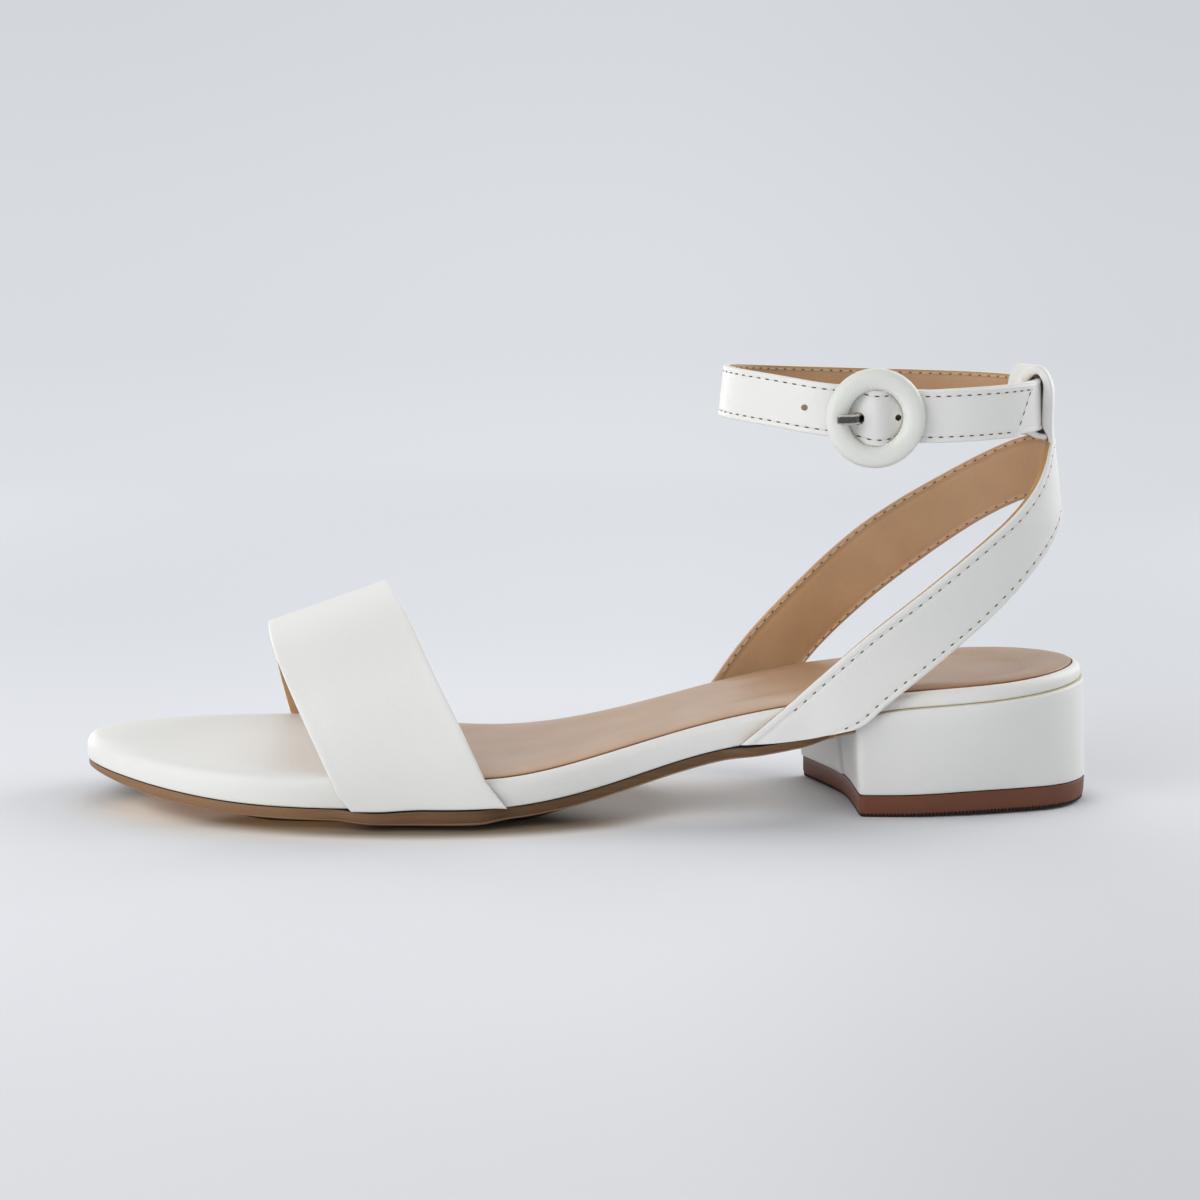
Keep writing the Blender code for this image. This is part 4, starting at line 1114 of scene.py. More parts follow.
def make_heel():
    """White covered heel: rounded corners, hollow breast with an overlapped seam, rolled shoulder."""
    low = LIFT_HEIGHT + COVER_FOOT
    wall_foot, wall_head = COVER_WALL
    lean_at = spline(*HEEL_LEAN)
    layers = []

    def level(share, inset, height_of, finish=0):
        loop, along = heel_loop(float(lean_at(share)))
        loop = narrowed(loop, 1 - share)
        on_breast = along >= 0
        lap = SEAM_LAP * smooth_step(*SEAM_LAP_RUN, along) * on_breast
        pressed = SEAM_GROOVE * ridge(*SEAM_GROOVE_AT, along) * on_breast
        flare = HEEL_FLARE * (1 - share) * smooth_step(*HEEL_FLARE_SPAN, loop[:, 0])
        plan = loop + inward(loop) * (inset - flare - lap + pressed + COVER_PLAY)[:, None]
        layers.append((plan, height_of(plan[:, 0]), finish))

    def bottom_rise(x):
        return heel_rise(x) * (1 + LIFT_SWELL)

    for inset, rise in ((2.0, 0.0), (0.5, 0.0), (0.2, 0.08), (0.04, 0.28)):
        level(0.0, HEEL_TAPER + inset, lambda x: low + rise + bottom_rise(x))
    for share in np.linspace(*HEEL_LEVELS):
        level(share, HEEL_TAPER * (1 - share),
              lambda x: (low + wall_foot + bottom_rise(x) * (1 - share)
                         + (under(x) - wall_head - low) * share))
    for inset, drop, finish in ((0.04, 1.0, 0), (0.1, 0.5, 0), (0.26, 0.2, 0),
                                (0.6, 0.06, 1), (4.0, 0.02, 1)):
        level(1.0, inset, lambda x: under(x) - drop, finish)
    form = stack_loops(layers)
    return form.piece("heel_cover", [WHITE, HEEL_LINE], "white_leather", ["heel_block"])


def make_lift():
    """Red-brown heel lift with a near-black top line, and a toothed bottom edge painted near-black as
    shade.
    """
    loop = narrowed(heel_loop(0.0, LIFT_POINTS)[0], 1.0)
    run = chord_lengths(np.concatenate([loop, loop[:1]]))[:-1]
    tooth = (np.sin(run * 2 * math.pi / TOOTH_PITCH) > TOOTH_GAP) * 1.0
    layers = []
    # Finish 1 paints the toothed bottom near-black as the shade in the gap under the lift, and the top face
    # near-black.
    for inset, tooth_share, height, finish in (
        (2.0, 0.0, 0.0, 1),
        (0.75, 0.6, 0.0, 1),
        (0.35, 1.0, 0.25, 1),
        (0.3, 1.0, 0.8, 1),
        (0.24, 0.0, 1.1, 0),
        (0.05, 0.0, 2.0, 0),
        (0.0, 0.0, LIFT_HEIGHT - 0.3, 0),
        (0.1, 0.0, LIFT_HEIGHT - 0.06, 0),
        (0.3, 0.0, LIFT_HEIGHT + 0.03, 1),
        (2.5, 0.0, LIFT_HEIGHT + 0.1, 1),
    ):
        flare = HEEL_FLARE * smooth_step(*HEEL_FLARE_SPAN, loop[:, 0])
        depth = HEEL_TAPER + COVER_PLAY + inset - flare + TOOTH_DEPTH * tooth_share * tooth
        rise = heel_rise(loop[:, 0]) * (1 + LIFT_SWELL * height / LIFT_HEIGHT)
        layers.append((loop + inward(loop) * depth[:, None], height + rise, finish))
    return stack_loops(layers).piece("heel_lift", [LIFT, LIFT_DARK], "heel_lift", ["heel_top_piece"])


def columns(first_width, last_width, middle):
    """Shares across each row of a strap: steps in from both edges and an even middle.

    The width that a row's steps are shares of is given for each edge.
    """
    steps = np.array(EDGE_STEPS)[None]
    first = steps / first_width[:, None]
    last = 1 - steps[:, ::-1] / last_width[:, None]
    t = np.linspace(0, 1, middle + 2)[None, 1:-1]
    return np.concatenate([first, first[:, -1:] + (last[:, :1] - first[:, -1:]) * t, last], axis=1)


def directions(surface, axis):
    """Direction of a grid's lines at each point, the mean of the steps on both sides."""
    steps = unit(np.diff(surface, axis=axis))
    first = np.take(steps, [0], axis=axis)
    last = np.take(steps, [-1], axis=axis)
    return unit(np.concatenate([first, steps], axis=axis) + np.concatenate([steps, last], axis=axis))


def facing(surface):
    """Outward direction at each point of a strap's mid surface."""
    return unit(np.cross(directions(surface, 1), directions(surface, 0)))


RIM_TURNS = np.radians(np.linspace(90, -90, 9)[1:-1])
END_TURNS = np.radians((25.0, 48.0, 68.0, 84.0))


def strap(surface, outer, inner, edge, bare_edge=None):
    """Form of a strap: outer and inner faces at their offsets from a mid surface, and rounded edges.

    Edge says how far the rims stand out and at which share of their turn the lining starts.
    Finishes are 0 for the outer leather, 1 for the cut edge of the lining and 2 for the lining.
    The cut edge shows in the rows where bare_edge is true, or in all rows.
    """
    rim_out, lining_from = edge
    grow = len(END_TURNS)

    def longer(rows):
        return np.concatenate([np.repeat(rows[:1], grow, axis=0), rows, np.repeat(rows[-1:], grow, axis=0)])

    head = surface[:1] + rim_out * unit(surface[0] - surface[1]) * np.sin(END_TURNS)[::-1, None, None]
    tail = surface[-1:] + rim_out * unit(surface[-1] - surface[-2]) * np.sin(END_TURNS)[:, None, None]
    mid = np.concatenate([head, surface, tail])
    thin = np.concatenate([np.cos(END_TURNS)[::-1], np.ones(len(surface)), np.cos(END_TURNS)])[:, None]
    normal = longer(facing(surface))
    centre = longer((outer - inner) / 2)
    half = longer((outer + inner) / 2) * thin
    out_face = mid + normal * (centre + half)[..., None]
    in_face = mid + normal * (centre - half)[..., None]

    def rim_points(column, neighbour):
        away = unit(mid[:, column] - mid[:, neighbour])
        base = mid[:, column] + normal[:, column] * centre[:, column, None]
        points = [base + normal[:, column] * (half[:, column] * math.sin(a))[:, None]
                  + away * rim_out * math.cos(a) * thin for a in RIM_TURNS]
        return np.stack(points, axis=1)

    last_rim = rim_points(-1, -2)
    first_rim = rim_points(0, 1)[:, ::-1]
    section = np.concatenate([out_face, last_rim, in_face[:, ::-1], first_rim], axis=1)
    form = Form()
    index = form.add(section)
    cols = surface.shape[1]
    back = cols + len(RIM_TURNS)
    far = back + cols
    lined = int(round((len(RIM_TURNS) + 1) * lining_from))
    marks = np.zeros(section.shape[1], int)
    marks[cols - 1 + lined:back] = 1
    marks[back:far - 1] = 2
    marks[far - 1:far + len(RIM_TURNS) - lined] = 1
    covered = np.where(marks == 1, 2, marks)
    bare = np.full(len(index), True) if bare_edge is None else np.pad(bare_edge, grow, mode="edge")
    for low, high, shows in zip(index, index[1:], bare):
        form.ring(low, high, marks if shows else covered)
    for end in (index[0], index[-1]):
        upper = end[:cols]
        lower = end[back:far][::-1]
        form.grid(np.stack([upper, lower]), 0)
        form.face([upper[-1], *end[cols:back], lower[-1]], 0)
        form.face([lower[0], *end[far:], upper[0]], 0)
    return form


GRAIN_RINGS = np.linspace(-1, 1, 8)[1:-1]
GRAIN_SIDES = round_angles(8)
GRAIN_SWELL = np.sqrt(1 - GRAIN_RINGS ** 2)[:, None] ** 0.7


def grains(form, places, along, up, size, finish):
    """Small rounded grains, such as stitches, at places on a surface; size is length, width and height."""
    across = np.cross(up, along)
    length, width, height = (s / 2 for s in size)
    for place, a, u, c in zip(places, along, up, across):
        rings = (place + GRAIN_RINGS[:, None, None] * length * a
                 + (GRAIN_SWELL * np.cos(GRAIN_SIDES))[..., None] * width * c
                 + (GRAIN_SWELL * np.sin(GRAIN_SIDES))[..., None] * height * u)
        index = form.add(rings)
        for low, high in zip(index, index[1:]):
            form.ring(low, high, finish)
        form.fan(index[0], place - length * a, finish)
        form.fan(index[-1], place + length * a, finish)


def sew(form, points, normals, seam, finishes):
    """A row of stitches on a face: thread lying between needle holes, small grains painted dark as their
    shade.
    """
    run = chord_lengths(points)
    stops = np.arange(seam.start, run[-1] - seam.stop, seam.pitch)
    thread_finish, hole_shade_finish = finishes

    def at(s):
        along = unit(at_stops(s + STITCH_REACH, run, points) - at_stops(s - STITCH_REACH, run, points))
        up = unit(at_stops(s, run, normals))
        up = unit(up - along * np.sum(up * along, axis=1, keepdims=True))
        return at_stops(s, run, points), along, up

    places, along, up = at(stops)
    grains(form, places + up * HOLE_LIFT, along, up, (*seam.hole, HOLE_RELIEF), hole_shade_finish)
    length = seam.pitch - THREAD_OVERLAP * seam.hole[0]
    grains(form, *at(stops + seam.pitch / 2), (length, *THREAD_SECTION), thread_finish)


def sew_edges(form, surface, offset, first, last, finishes):
    """A row of stitches along both edges of the strap's face at an offset from its mid surface."""
    normal = facing(surface)
    for seam, column in ((first, EDGE_STEPS.index(first.inset)),
                         (last, -1 - EDGE_STEPS.index(last.inset))):
        line = surface[:, column] + normal[:, column] * offset[:, column, None]
        sew(form, line, normal[:, column] * np.sign(offset[0, column]), seam, finishes)


def groove(distance, seam):
    """Pressed line that a row of stitches leaves in the leather, and the fuller edge beside it."""
    line = -GROOVE_DEPTH * ridge(seam.inset, GROOVE_WIDTH, distance)
    return line + EDGE_SWELL * ridge(seam.inset / 2, EDGE_SWELL_WIDTH, distance)


def make_vamp():
    """Wide strap over the toes, its edges turned, lined in tan, its ends tucked in above the outsole."""
    turns = np.linspace(VAMP[0].turn, VAMP[-1].turn, VAMP_ROWS)
    front, back = (spline([row.turn for row in VAMP], edge)(turns)[:, None]
                   for edge in ([row.front for row in VAMP], [row.back for row in VAMP]))
    width = (back - front)[:, 0]
    v = columns(width, width, VAMP_MIDDLE)
    x = front * (1 - v) + back * v
    side = np.where(turns < 0, -1, 1)[:, None]
    bent = np.radians(np.minimum(abs(turns), 90))[:, None]
    skirt = np.maximum(abs(turns) - 90, 0)[:, None] / (VAMP[-1].turn - 90)
    spring = VAMP_SPRING[0] * (1 - v) + VAMP_SPRING[1] * v
    crown = VAMP_CROWN[0] * (1 - v) + VAMP_CROWN[1] * v
    half = edge_y(side, x) + GAP + VAMP_WALL / 2 + STRAP_SLACK - side * VAMP_CROWN_Y
    power = 2 / VAMP_SQUARENESS
    y = VAMP_CROWN_Y + side * half * np.sin(bent) ** power
    z = spring + (crown - spring) * np.clip(np.cos(bent), 0, 1) ** power
    foot = under(x) - STRAP_TUCK + GAP + welt(x, side < 0)
    surface = np.stack([x, y, z + (foot - spring) * skirt], axis=-1)
    from_edge = np.minimum(v, 1 - v) * width[:, None]
    outer = VAMP_WALL / 2 + VAMP_SWELL * ridge(*VAMP_SWELL_AT, from_edge)
    inner = np.full_like(outer, VAMP_WALL / 2)
    form = strap(surface, outer, inner, VAMP_EDGE)
    return form.piece("vamp_strap_lined", LINED, "white_leather", ["vamp_strap"])


def make_sling():
    """Sling round the heel: turned edges, two rows of stitches through leather and lining."""
    edges = np.array(SLING)
    knots = chord_lengths((edges[:, 0:2] + edges[:, 2:4]) / 2)
    rows = spline(knots, edges)(np.linspace(0, knots[-1], SLING_ROWS))
    upper, lower = rows[:, 0:2], rows[:, 2:4]
    across = lower - upper
    width = np.linalg.norm(across, axis=1)

    def squarely(edge):
        along = unit(np.gradient(edge, axis=0))
        cross = unit(across)
        return np.maximum(abs(along[:, 0] * cross[:, 1] - along[:, 1] * cross[:, 0]), SLING_SQUARE)

    upper_width, lower_width = width * squarely(upper), width * squarely(lower)
    v = columns(upper_width, lower_width, SLING_MIDDLE)
    flat = upper[:, None] * (1 - v[..., None]) + lower[:, None] * v[..., None]
    from_end = np.minimum(np.arange(len(v)), np.arange(len(v))[::-1])[:, None]
    flat[..., 1] -= SLING_SAG * 4 * v * (1 - v) * smooth_step(SLING_SAG_ROWS, 0, from_end)
    surface = np.concatenate([sling_plan(flat[..., 0], flat[..., 1]), flat[..., 1:]], axis=-1)
    pressed = (groove(v * upper_width[:, None], SLING_UPPER_SEAM)
               + groove((1 - v) * lower_width[:, None], SLING_LOWER_SEAM))
    outer = SLING_WALL / 2 + pressed
    inner = SLING_WALL / 2 + SLING_LINING_PRESS * pressed
    form = strap(surface, outer, inner, SLING_EDGE, bare_edge=upper[:, 0] < SLING_BARE_TO)
    form.piece("sling_lined", LINED, "white_leather", ["heel_sling"])
    sewing = Form()
    seams = (SLING_UPPER_SEAM, SLING_LOWER_SEAM)
    sew_edges(sewing, surface, outer, *seams, OUTSIDE)
    sew_edges(sewing, surface, -inner, *(seam._replace(**SLING_LINING_SEAM) for seam in seams), INSIDE)
    sewing.piece("sling_stitches", SEWING, "white_leather")


def make_loop():
    """Folded white tab that grows out of the sling's back and carries the ankle strap."""
    places = np.linspace(LOOP_FROM, LOOP_TO, LOOP_COLUMNS)
    around = evenly(LOOP, LOOP_ROWS)
    base = sling_plan(places, LOOP_BASE)
    along = sling_plan(places + 0.5, LOOP_BASE) - sling_plan(places - 0.5, LOOP_BASE)
    ahead = unit(np.stack([-along[:, 1], along[:, 0]], axis=1))
    plan = base[None] + ahead[None] * around[:, 0, None, None]
    surface = np.dstack([plan, np.broadcast_to(around[:, 1, None], plan.shape[:2])])
    height = around[:, 1]
    wall = LOOP_WALL / 2 - LOOP_FOOT_THIN * smooth_step(*LOOP_FOOT, height)
    wall = np.broadcast_to(wall[:, None], surface.shape[:2])
    outer_leg = around[:, 0] < LOOP[LOOP_TOP].ahead
    pad = LOOP_PAD * smooth_step(*LOOP_PAD_FOOT, height) * smooth_step(*LOOP_PAD_HEAD, height) * outer_leg
    lining = LOOP_WALL / 2 - LOOP_INNER_THIN * smooth_step(*LOOP_INNER_FOOT, height) * outer_leg + pad
    form = strap(surface, wall, np.broadcast_to(lining[:, None], wall.shape), LOOP_EDGE)
    return form.piece("loop_tab", [WHITE, WHITE, WHITE], "white_leather", ["back_loop"])


def ankle_path():
    """Centre line of the ankle strap as a function of its length, with that length."""
    x, y, z = RING_CENTRE
    layer = ANKLE_WALL + GAP
    bar_y = y + BAR_DEPTH
    fold = BAR_RADIUS + FOLD_PLAY + ANKLE_WALL / 2
    under_rim = y + GAP + ANKLE_WALL / 2
    rim_x = (RING_INNER + RING_OUTER) / 2
    points = [
        (x + FOLD_END, under_rim + 2 * layer + FOLD_SLACK, z),
        (x + SHOULDER, under_rim + 2 * layer, z),
    ]
    for turn in np.radians(np.linspace(90, 270, 7)):
        points.append((x + fold * math.cos(turn), bar_y + fold * math.sin(turn), z))
    points += [
        (x + SHOULDER, under_rim + layer - FOLD_SLACK, z),
        (x + rim_x, under_rim + layer, z),
        *ANKLE,
        (x - rim_x, under_rim, z + RISE_AT_RIM),
        (x - SHOULDER, under_rim - FOLD_SLACK, z + RISE_AT_SHOULDER),
        (x, bar_y - fold - layer, z - ANKLE_UP),
        (x + SHOULDER, under_rim - FOLD_SLACK, z),
        (x + rim_x, under_rim, z),
    ]
    for row, following in zip(ANKLE[:TAIL_ROWS], ANKLE[1:]):
        ahead = np.array(following[:2]) - np.array(row[:2])
        outward = np.array([ahead[1], -ahead[0]]) / np.linalg.norm(ahead)
        points.append((*(np.array(row[:2]) + outward * layer), row.z - TAIL_DROP))
    points.append(TAIL_TIP)
    knots = chord_lengths(points)
    return spline(knots, np.array(points)), knots[-1]


def sweep(path, side, up, wide, tall, size):
    """Form of a section along a path: its points lie wide to the side and tall up, times a row's size."""
    section = wide[None, :, None] * side[:, None] + tall[None, :, None] * up[:, None]
    form = Form()
    index = form.add(path[:, None] + section * size[:, None, None])
    for low, high in zip(index, index[1:]):
        form.ring(low, high, 0)
    form.fan(index[0], path[0], 0)
    form.fan(index[-1], path[-1], 0)
    return form


def rod(path, half_height, half_thick, squareness, taper):
    """Form of a rod along a path in plan, its section between an ellipse and a box, its ends tapered."""
    along = unit(np.gradient(path, axis=0))
    side = unit(np.cross(along, np.broadcast_to([0.0, 0.0, 1.0], along.shape)))
    across, high = np.cos(round_angles(ROD_SIDES)), np.sin(round_angles(ROD_SIDES))
    power = 2 / squareness
    wide = np.sign(across) * abs(across) ** power * half_thick
    tall = np.sign(high) * abs(high) ** power * half_height
    return sweep(path, side, np.cross(side, along), wide, tall, taper)


def prong_path(stops):
    """Centre line of the prong, from beside the bar to the ring's front rim."""
    x, y, z = RING_CENTRE
    return evenly([(x - row.ahead, y - row.out, z - PRONG_DROP) for row in PRONG], stops)


def bore(middle, radius, depths):
    """Cutter for a round hole through the strap's outer run."""
    angles = round_angles(ROD_SIDES)
    form = Form()
    circle = np.stack([np.cos(angles) * radius, np.zeros(ROD_SIDES), np.sin(angles) * radius], axis=1)
    ends = [form.add(middle + circle + np.array([0.0, depth, 0.0])) for depth in depths]
    form.ring(ends[0], ends[1], 0)
    for end, depth in zip(ends, depths):
        form.fan(end, middle + np.array([0.0, depth, 0.0]), 0)
    return form


def cut_holes(piece, cutters):
    """Cuts the cutters' forms out of a piece for good."""
    for number, form in enumerate(cutters):
        name = f"cutter_{number}"
        # The cutter's finish paints each hole's walls dark olive as their shade.
        cutter = placed(name, form.mesh(name, [PAINTED_GAP_SHADE]))
        modifier = piece.modifiers.new("hole", "BOOLEAN")
        modifier.operation = "DIFFERENCE"
        modifier.solver = "EXACT"
        modifier.material_mode = "TRANSFER"
        modifier.object = cutter
        bpy.context.view_layer.update()
        cut = bpy.data.meshes.new_from_object(piece.evaluated_get(bpy.context.evaluated_depsgraph_get()))
        piece.modifiers.clear()
        piece.data = cut
        bpy.data.objects.remove(cutter, do_unlink=True)


def make_ankle_strap():
    """Ankle strap: folded over the bar, round the ankle, through the ring to its slanted, sewn tail."""
    curve, length = ankle_path()
    fine = np.linspace(0, length, 4000)
    points = curve(fine)
    turning = np.linalg.norm(np.diff(unit(np.diff(points, axis=0)), axis=0), axis=1)
    steps = np.cumsum(turning / math.radians(ANKLE_STEP_TURN) + np.diff(fine)[1:] / ANKLE_STEP)
    weight = np.concatenate([[0.0], steps, steps[-1:]]) + np.arange(len(fine)) * 1e-9
    stops = np.interp(np.linspace(0, steps[-1], int(steps[-1])), weight, fine)
    stops[-1] = length
    width = np.full(len(stops), ANKLE_WIDTH)
    v = columns(width, width, ANKLE_MIDDLE)
    slant = (ANKLE_SLANT * smooth_step(length - ANKLE_SLANT_RUN, length, stops))[:, None]
    high = 1 - 2 * v
    place = curve(stops[:, None] + slant * high / 2 - slant / 2)
    ahead = curve(stops + 0.1) - curve(stops - 0.1)
    outward = unit(np.stack([ahead[:, 1], -ahead[:, 0]], axis=1))
    lean = (ANKLE_LEAN * abs(outward[:, 0]) ** 2)[:, None]
    in_ring = ridge(0.0, RING_HOLE, np.linalg.norm(place.mean(axis=1) - np.array(RING_CENTRE), axis=1))
    in_ring = in_ring * (stops > OUTER_RUN_FROM * length)
    height = high * (ANKLE_WIDTH / 2 + RING_FILL * in_ring)[:, None] + ANKLE_UP
    plan = place[..., :2] - outward[:, None] * (lean * height)[..., None]
    surface = np.dstack([plan, place[..., 2] + height])
    from_edge = np.minimum(v, 1 - v) * ANKLE_WIDTH
    to_tip = (length - stops)[:, None]
    pressed = groove(from_edge, ANKLE_SEAM) * smooth_step(*PRESS_FROM_TIP, to_tip)
    outer, inner = (ANKLE_WALL / 2 + share * pressed for share in ANKLE_PRESS)
    form = strap(surface, outer, inner, ANKLE_EDGE)
    piece = form.piece("ankle_strap_lined", LINED, "white_leather", ["ankle_strap"])
    run = curve(np.linspace(OUTER_RUN_FROM * length, length, 900))
    cutters = [bore(run[np.argmin(abs(run[:, 0] - x))], HOLE_RADIUS, HOLE_DEPTHS) for x in HOLE_X]
    path = prong_path(24)
    longer = np.concatenate([[2 * path[0] - path[1]], path])
    cutters.append(rod(longer, PRONG_RADIUS + GAP, PRONG_RADIUS + GAP, 2.0, np.ones(len(longer))))
    cut_holes(piece, cutters)
    sewing = Form()
    behind_loop = fine[np.argmin(np.linalg.norm(points - np.array(ANKLE[BEHIND_LOOP]), axis=1))]
    seam = ANKLE_SEAM._replace(start=behind_loop)
    sew_edges(sewing, surface, outer, seam, seam, OUTSIDE)
    sew_edges(sewing, surface, -inner, ANKLE_LINING_SEAM, ANKLE_LINING_SEAM, INSIDE)
    normal = facing(surface)
    column = EDGE_STEPS.index(ANKLE_SEAM.inset)
    row = np.argmin(abs(stops - (length - ANKLE_SEAM.inset)))
    tip = slice(column + 1, -1 - column)
    line = (surface + normal * outer[..., None])[row, tip]
    sew(sewing, line, normal[row, tip], ANKLE_TIP_SEAM, OUTSIDE)
    sewing.piece("ankle_stitches", SEWING, "white_leather")


def make_ring():
    """Domed round buckle covered in leather that is drawn into fine pleats at its inner edge."""
    x, y, z = RING_CENTRE
    curve, knots = closed_spline(RING_PROFILE, wrap=3)
    profile = curve(np.linspace(knots[0], knots[-1], RING_COLUMNS, endpoint=False))
    profile[:, 1] = np.maximum(profile[:, 1], 0.0)
    angles = round_angles(RING_ROWS)[:, None]
    inner = smooth_step(RING_HOLE + PLEAT_RUN, RING_HOLE, profile[:, 0])[None]
    pleat = PLEAT_DEPTH * inner * np.sin(RING_PLEATS * angles + 1.5 * np.sin(3 * angles))
    radius = profile[None, :, 0] + pleat
    height = profile[None, :, 1] + RING_UNEVEN * np.sin(5 * angles + 1.0)
    form = Form()
    index = form.add(np.stack([x + radius * np.cos(angles), y - np.maximum(height, 0.0),
                               z + radius * np.sin(angles)], axis=-1))
    # The lowest rows of the inner lip are painted dark olive as the shade in the gap between ring and
    # strap.
    lip = ((profile[:, 0] < RING_HOLE + 0.1) & (profile[:, 1] < 1.05)).astype(int)
    for low, high in zip(index, np.roll(index, -1, axis=0)):
        form.ring(low, high, lip)
    return form.piece("covered_ring", [RING_WHITE, PAINTED_GAP_SHADE], "white_leather", ["buckle_ring"], sharp=80.0)


def make_bar():
    """Bar behind the ring that the strap folds over, its ends bent to the ring's back."""
    x, y, z = RING_CENTRE
    upper = [(x, y - row.out, z + row.up) for row in BAR_HALF]
    lower = [(x, y - row.out, z - row.up) for row in reversed(BAR_HALF)]
    points = np.array(upper + lower)
    knots = chord_lengths(points)
    path = at_stops(np.linspace(0, knots[-1], BAR_ROWS), knots, points)
    along = unit(np.gradient(path, axis=0))
    side = np.broadcast_to([1.0, 0.0, 0.0], along.shape)
    angles = round_angles(BAR_SIDES)
    form = sweep(path, side, np.cross(side, along), np.cos(angles), np.sin(angles),
                 np.full(len(path), BAR_RADIUS))
    return form.piece("buckle_bar_round", [METAL], "buckle_metal", ["buckle_bar"])


def make_prong():
    """Flat metal prong with a rounded tip."""
    path = prong_path(36)
    share = np.linspace(0, 1, len(path))
    taper = 1 - PRONG_TAPER * np.clip((share - PRONG_TIP) / (1 - PRONG_TIP), 0, 1) ** 2
    form = rod(path, PRONG_RADIUS, PRONG_THICK, 4.0, taper)
    return form.piece("buckle_prong_flat", [PRONG_METAL], "buckle_metal", ["buckle_prong"])


# Stage: softboxes as place, size and power, distant lights as direction, strength and spread in
# degrees, all in metres round the shoe. The floor's finish carries the shade under the ball, the
# warm light under the sole and three glows, which the photograph has and lamps alone don't give.
# FADES paint a fall-off of light, darkening it to the right and left of FLOOR_EYE, which is under the
# camera: how deep, over which run of x by y, and over which span of y.
SOFTBOXES = [
    ("left_softbox", (-1.05, -0.5, 0.8), 1.0, 3.4),
    ("front_left_softbox", (-0.9, -1.0, 0.6), 1.0, 4.1),
    ("high_softbox", (-0.7, -0.9, 1.0), 1.0, 4.1),
    ("low_back_softbox", (-0.7, 0.8, 0.15), 0.5, 3.1),
    ("low_left_softbox", (-0.9, -0.6, 0.12), 0.4, 1.3),
    ("right_back_softbox", (1.0, 0.5, 0.5), 0.8, 7.0),
]
SUNS = [
    ("top_light", (0.05, -0.7, -1.0), 0.45, 60.0),
    ("back_light", (0.0, -1.0, -0.55), 0.55, 60.0),
    ("right_light", (-0.9, -0.1, -0.4), 0.55, 70.0),
]
SKY = ((0.96, 0.98, 1.0), 0.2)
FLOOR_EYE = (-0.0219, -0.592)
FADES = [
    (0.1, (0.05, 0.29), (-0.55, -0.3)),
    (0.04, (0.03, -0.2), (-0.2, 0.0)),
]
FloorSpot = namedtuple("FloorSpot", "x y half_x half_y")
BALL_SHADOW = FloorSpot(-0.042, -0.009, 0.060, 0.034)
SOLE_BOUNCE = FloorSpot(-0.050, -0.012, 0.075, 0.040)
# Painted light: glowing patches of floor under the arch, under the toe and beside it, as place and colour.
GLOWS = [
    (FloorSpot(0.021, -0.003, 0.036, 0.028), (0.235, 0.222, 0.21)),
    (FloorSpot(-0.095, -0.014, 0.022, 0.016), (0.20, 0.138, 0.104)),
    (FloorSpot(-0.072, -0.030, 0.018, 0.010), (0.08, 0.045, 0.02)),
]
FLOOR_UNDER = ((0.831, 0.845, 0.880), (0.841, 0.855, 0.890))
FLOOR_FRONT = (0.715, 0.726, 0.756)
FLOOR_BEHIND = (0.783, 0.805, 0.847)
FLOOR_WARM_BOUNCE = (0.93, 0.86, 0.765)
FLOOR_CONTACT_SHADE = (0.16, 0.085, 0.02)
FLOOR_FAR = (0.744, 0.767, 0.806)
WALL_LOW = (0.712, 0.734, 0.772)
WALL_HIGH = (0.665, 0.687, 0.723)
BLACK = (0.0, 0.0, 0.0)
FLOOR_RADIUS = 2.4
FLOOR_RINGS = (0.3, 0.8, 1.6)
FLOOR_SIDES = 96
SWEEP_RADIUS = 0.9
WALL_TOP = 0.75


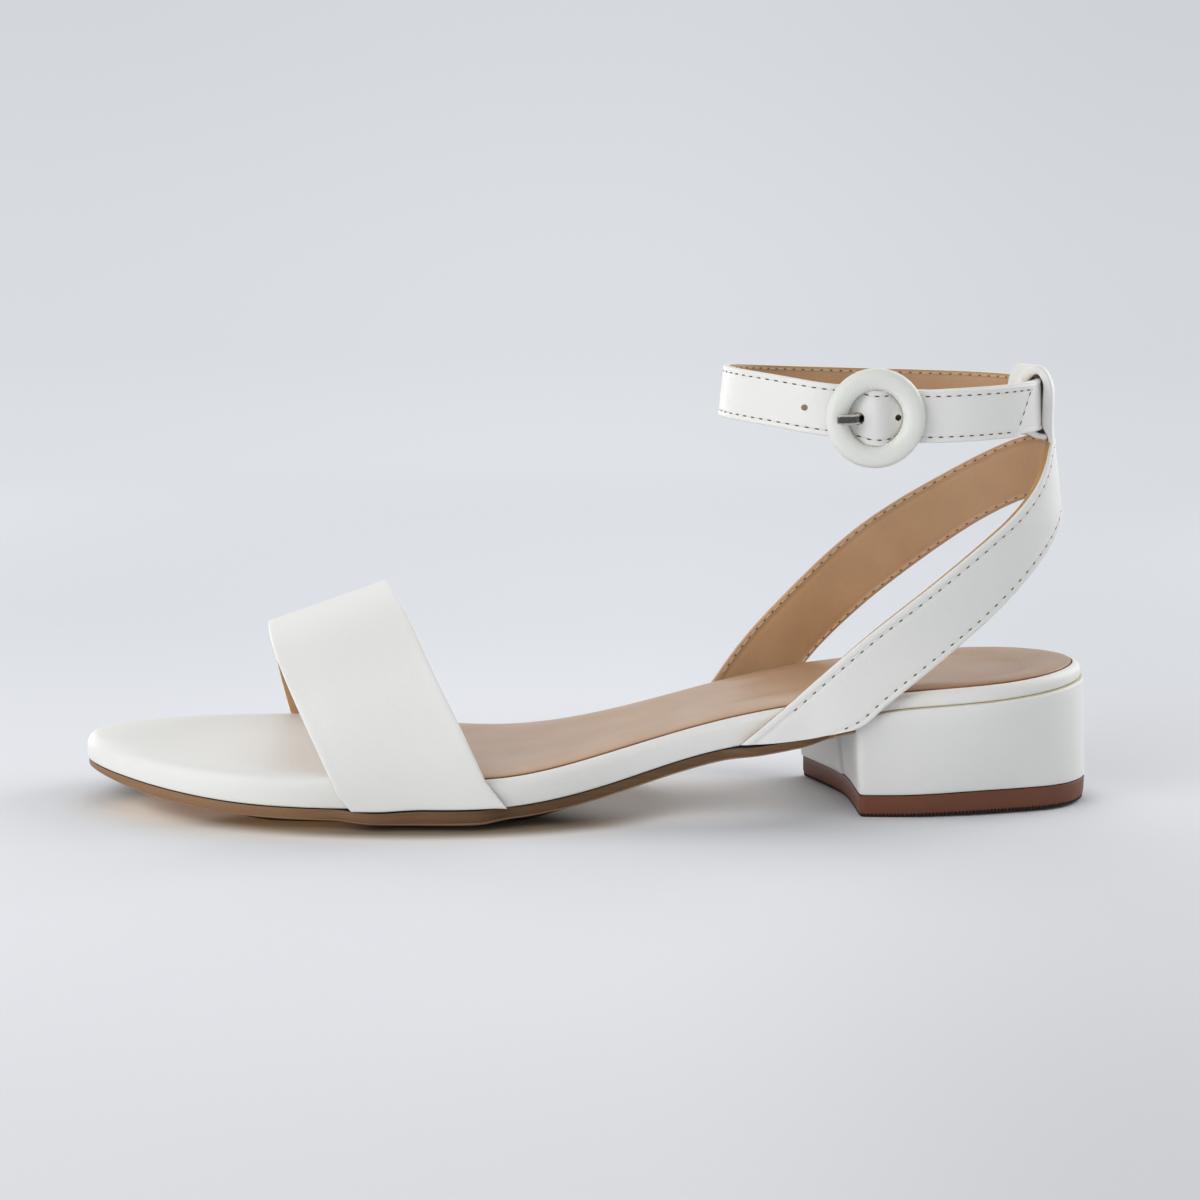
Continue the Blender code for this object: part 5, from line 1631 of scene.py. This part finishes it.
def make_stage():
    """Pale floor that sweeps up all round, with painted shade and light in its colour and glow, and soft
    daylight from above and from the left.
    """
    paint = Paint("pale_floor", emission_strength=1.0, specular_ior_level=0.0)
    cloud = paint.noise(260.0)
    x, y, z = paint.axes()

    def around(spot):
        across = (x - spot.x) / spot.half_x
        along = (y - spot.y) / spot.half_y
        return across * across + along * along

    # Painted fall-off of light: the fades darken the floor and the sweep to the right and left.
    aside = (x - FLOOR_EYE[0]) / (y - FLOOR_EYE[1])
    fade = sum(depth * paint.between(aside, *run) * paint.between(y, *span) for depth, run, span in FADES)
    near = paint.mix(cloud, *FLOOR_UNDER)
    # Painted fall-off of light: the floor darkens in front of the shoe and, less, behind it.
    near = paint.mix(paint.between(y, -0.06, -0.28), near, FLOOR_FRONT)
    near = paint.mix(paint.between(y, 0.02, 0.3), near, FLOOR_BEHIND)
    # Painted bounce light: a warm tint on the floor under and beside the sole.
    warm = 1 - paint.between(around(SOLE_BOUNCE), 0.5, 1.3)
    near = paint.mix(0.85 * warm, near, FLOOR_WARM_BOUNCE)
    # Painted shadow: a warm dark shade on the floor under and in front of the ball.
    contact_shade = 1 - paint.between(around(BALL_SHADOW), 0.85, 1.35)
    near = paint.mix(0.77 * contact_shade, near, FLOOR_CONTACT_SHADE)
    far = paint.between(x * x + y * y, 0.1, 0.8)
    paint.set(base_color=paint.mix(far + (1 - far) * fade, near, BLACK))
    # The far floor and the sweep are black and glow with the backdrop's colour, darker further back, higher
    # up and to the sides as painted fall-off of light.
    wall = paint.mix(paint.between(y, 0.6, 2.4), FLOOR_FAR, WALL_LOW)
    wall = paint.mix(paint.between(z, 0.0, 0.6), wall, WALL_HIGH)
    wall = paint.mix(0.7 * fade, wall, BLACK)
    # Painted light: the floor glows under the arch and round the toe.
    glow = BLACK
    for spot, colour in GLOWS:
        glow = paint.mix(1 - paint.between(around(spot), 0.1, 1.6), glow, colour)
    paint.set(emission_color=paint.mix(far, glow, wall))
    paint.set(roughness=0.75 + 0.1 * cloud)
    turn = np.linspace(0, math.acos(1 - WALL_TOP / SWEEP_RADIUS), 20)
    line = [(radius, 0.0) for radius in FLOOR_RINGS]
    line += [(FLOOR_RADIUS + SWEEP_RADIUS * math.sin(a), SWEEP_RADIUS * (1 - math.cos(a))) for a in turn]
    angles = round_angles(FLOOR_SIDES)
    points = [(r * math.cos(a), r * math.sin(a), z) for r, z in line for a in angles]
    index = np.arange(len(points)).reshape(len(line), -1)
    faces = [index[0].tolist()]
    for low, high in zip(index, index[1:]):
        faces.extend(np.stack([low, high, np.roll(high, -1), np.roll(low, -1)], axis=-1).tolist())
    mesh = bpy.data.meshes.new("floor")
    mesh.from_pydata(points, [], faces)
    mesh.shade_smooth()
    mesh.materials.append(paint.material)
    floor = placed("floor", mesh)

    world = bpy.data.worlds.new("studio")
    world.use_nodes = True
    sky = world.node_tree.nodes["Background"]
    sky.inputs["Color"].default_value = (*SKY[0], 1.0)
    sky.inputs["Strength"].default_value = SKY[1]
    bpy.context.scene.world = world
    for name, place, size, power in SOFTBOXES:
        add_softbox(name, place, size, power)
    for name, towards, strength, spread in SUNS:
        add_sun(name, towards, strength, spread)


def add_lamp(light, towards, place=(0.0, 0.0, 0.0)):
    """Hangs a light at a place, shining in a direction."""
    lamp = placed(light.name, light)
    lamp.location = place
    lamp.rotation_euler = Vector(towards).to_track_quat("-Z", "Y").to_euler()
    lamp.visible_camera = False


def add_sun(name, towards, strength, spread):
    """Soft distant light shining in a direction."""
    light = bpy.data.lights.new(name, "SUN")
    light.energy = strength
    light.angle = math.radians(spread)
    add_lamp(light, towards)


def add_softbox(name, place, size, power):
    """Square soft light that faces the shoe."""
    light = bpy.data.lights.new(name, "AREA")
    light.size = size
    light.energy = power
    add_lamp(light, -Vector(place), place)


def make_camera():
    """Camera at the photograph's place, angle and lens."""
    yaw, pitch, roll = (math.radians(a) for a in (CAMERA_YAW, CAMERA_PITCH, CAMERA_ROLL))
    ahead = Vector((math.sin(yaw) * math.cos(pitch), math.cos(yaw) * math.cos(pitch), -math.sin(pitch)))
    level = Vector((math.cos(yaw), -math.sin(yaw), 0.0))
    above = level.cross(ahead)
    right = math.cos(roll) * level + math.sin(roll) * above
    up = math.cos(roll) * above - math.sin(roll) * level
    turned = Matrix((right, up, -ahead)).transposed().to_4x4()
    data = bpy.data.cameras.new("photo_camera")
    data.sensor_width = CAMERA_SENSOR
    data.lens = CAMERA_LENS
    data.clip_start = 0.01
    camera = placed("photo_camera", data)
    camera.matrix_world = Matrix.Translation((Vector(CAMERA_PLACE) - Vector(ORIGIN)) * MM) @ turned
    bpy.context.scene.camera = camera


make_camera()
make_outsole()
make_footbed()
make_sock()
make_heel()
make_lift()
make_vamp()
make_sling()
make_loop()
make_ankle_strap()
make_ring()
make_bar()
make_prong()
make_stage()
bpy.context.scene.view_settings.view_transform = "Standard"
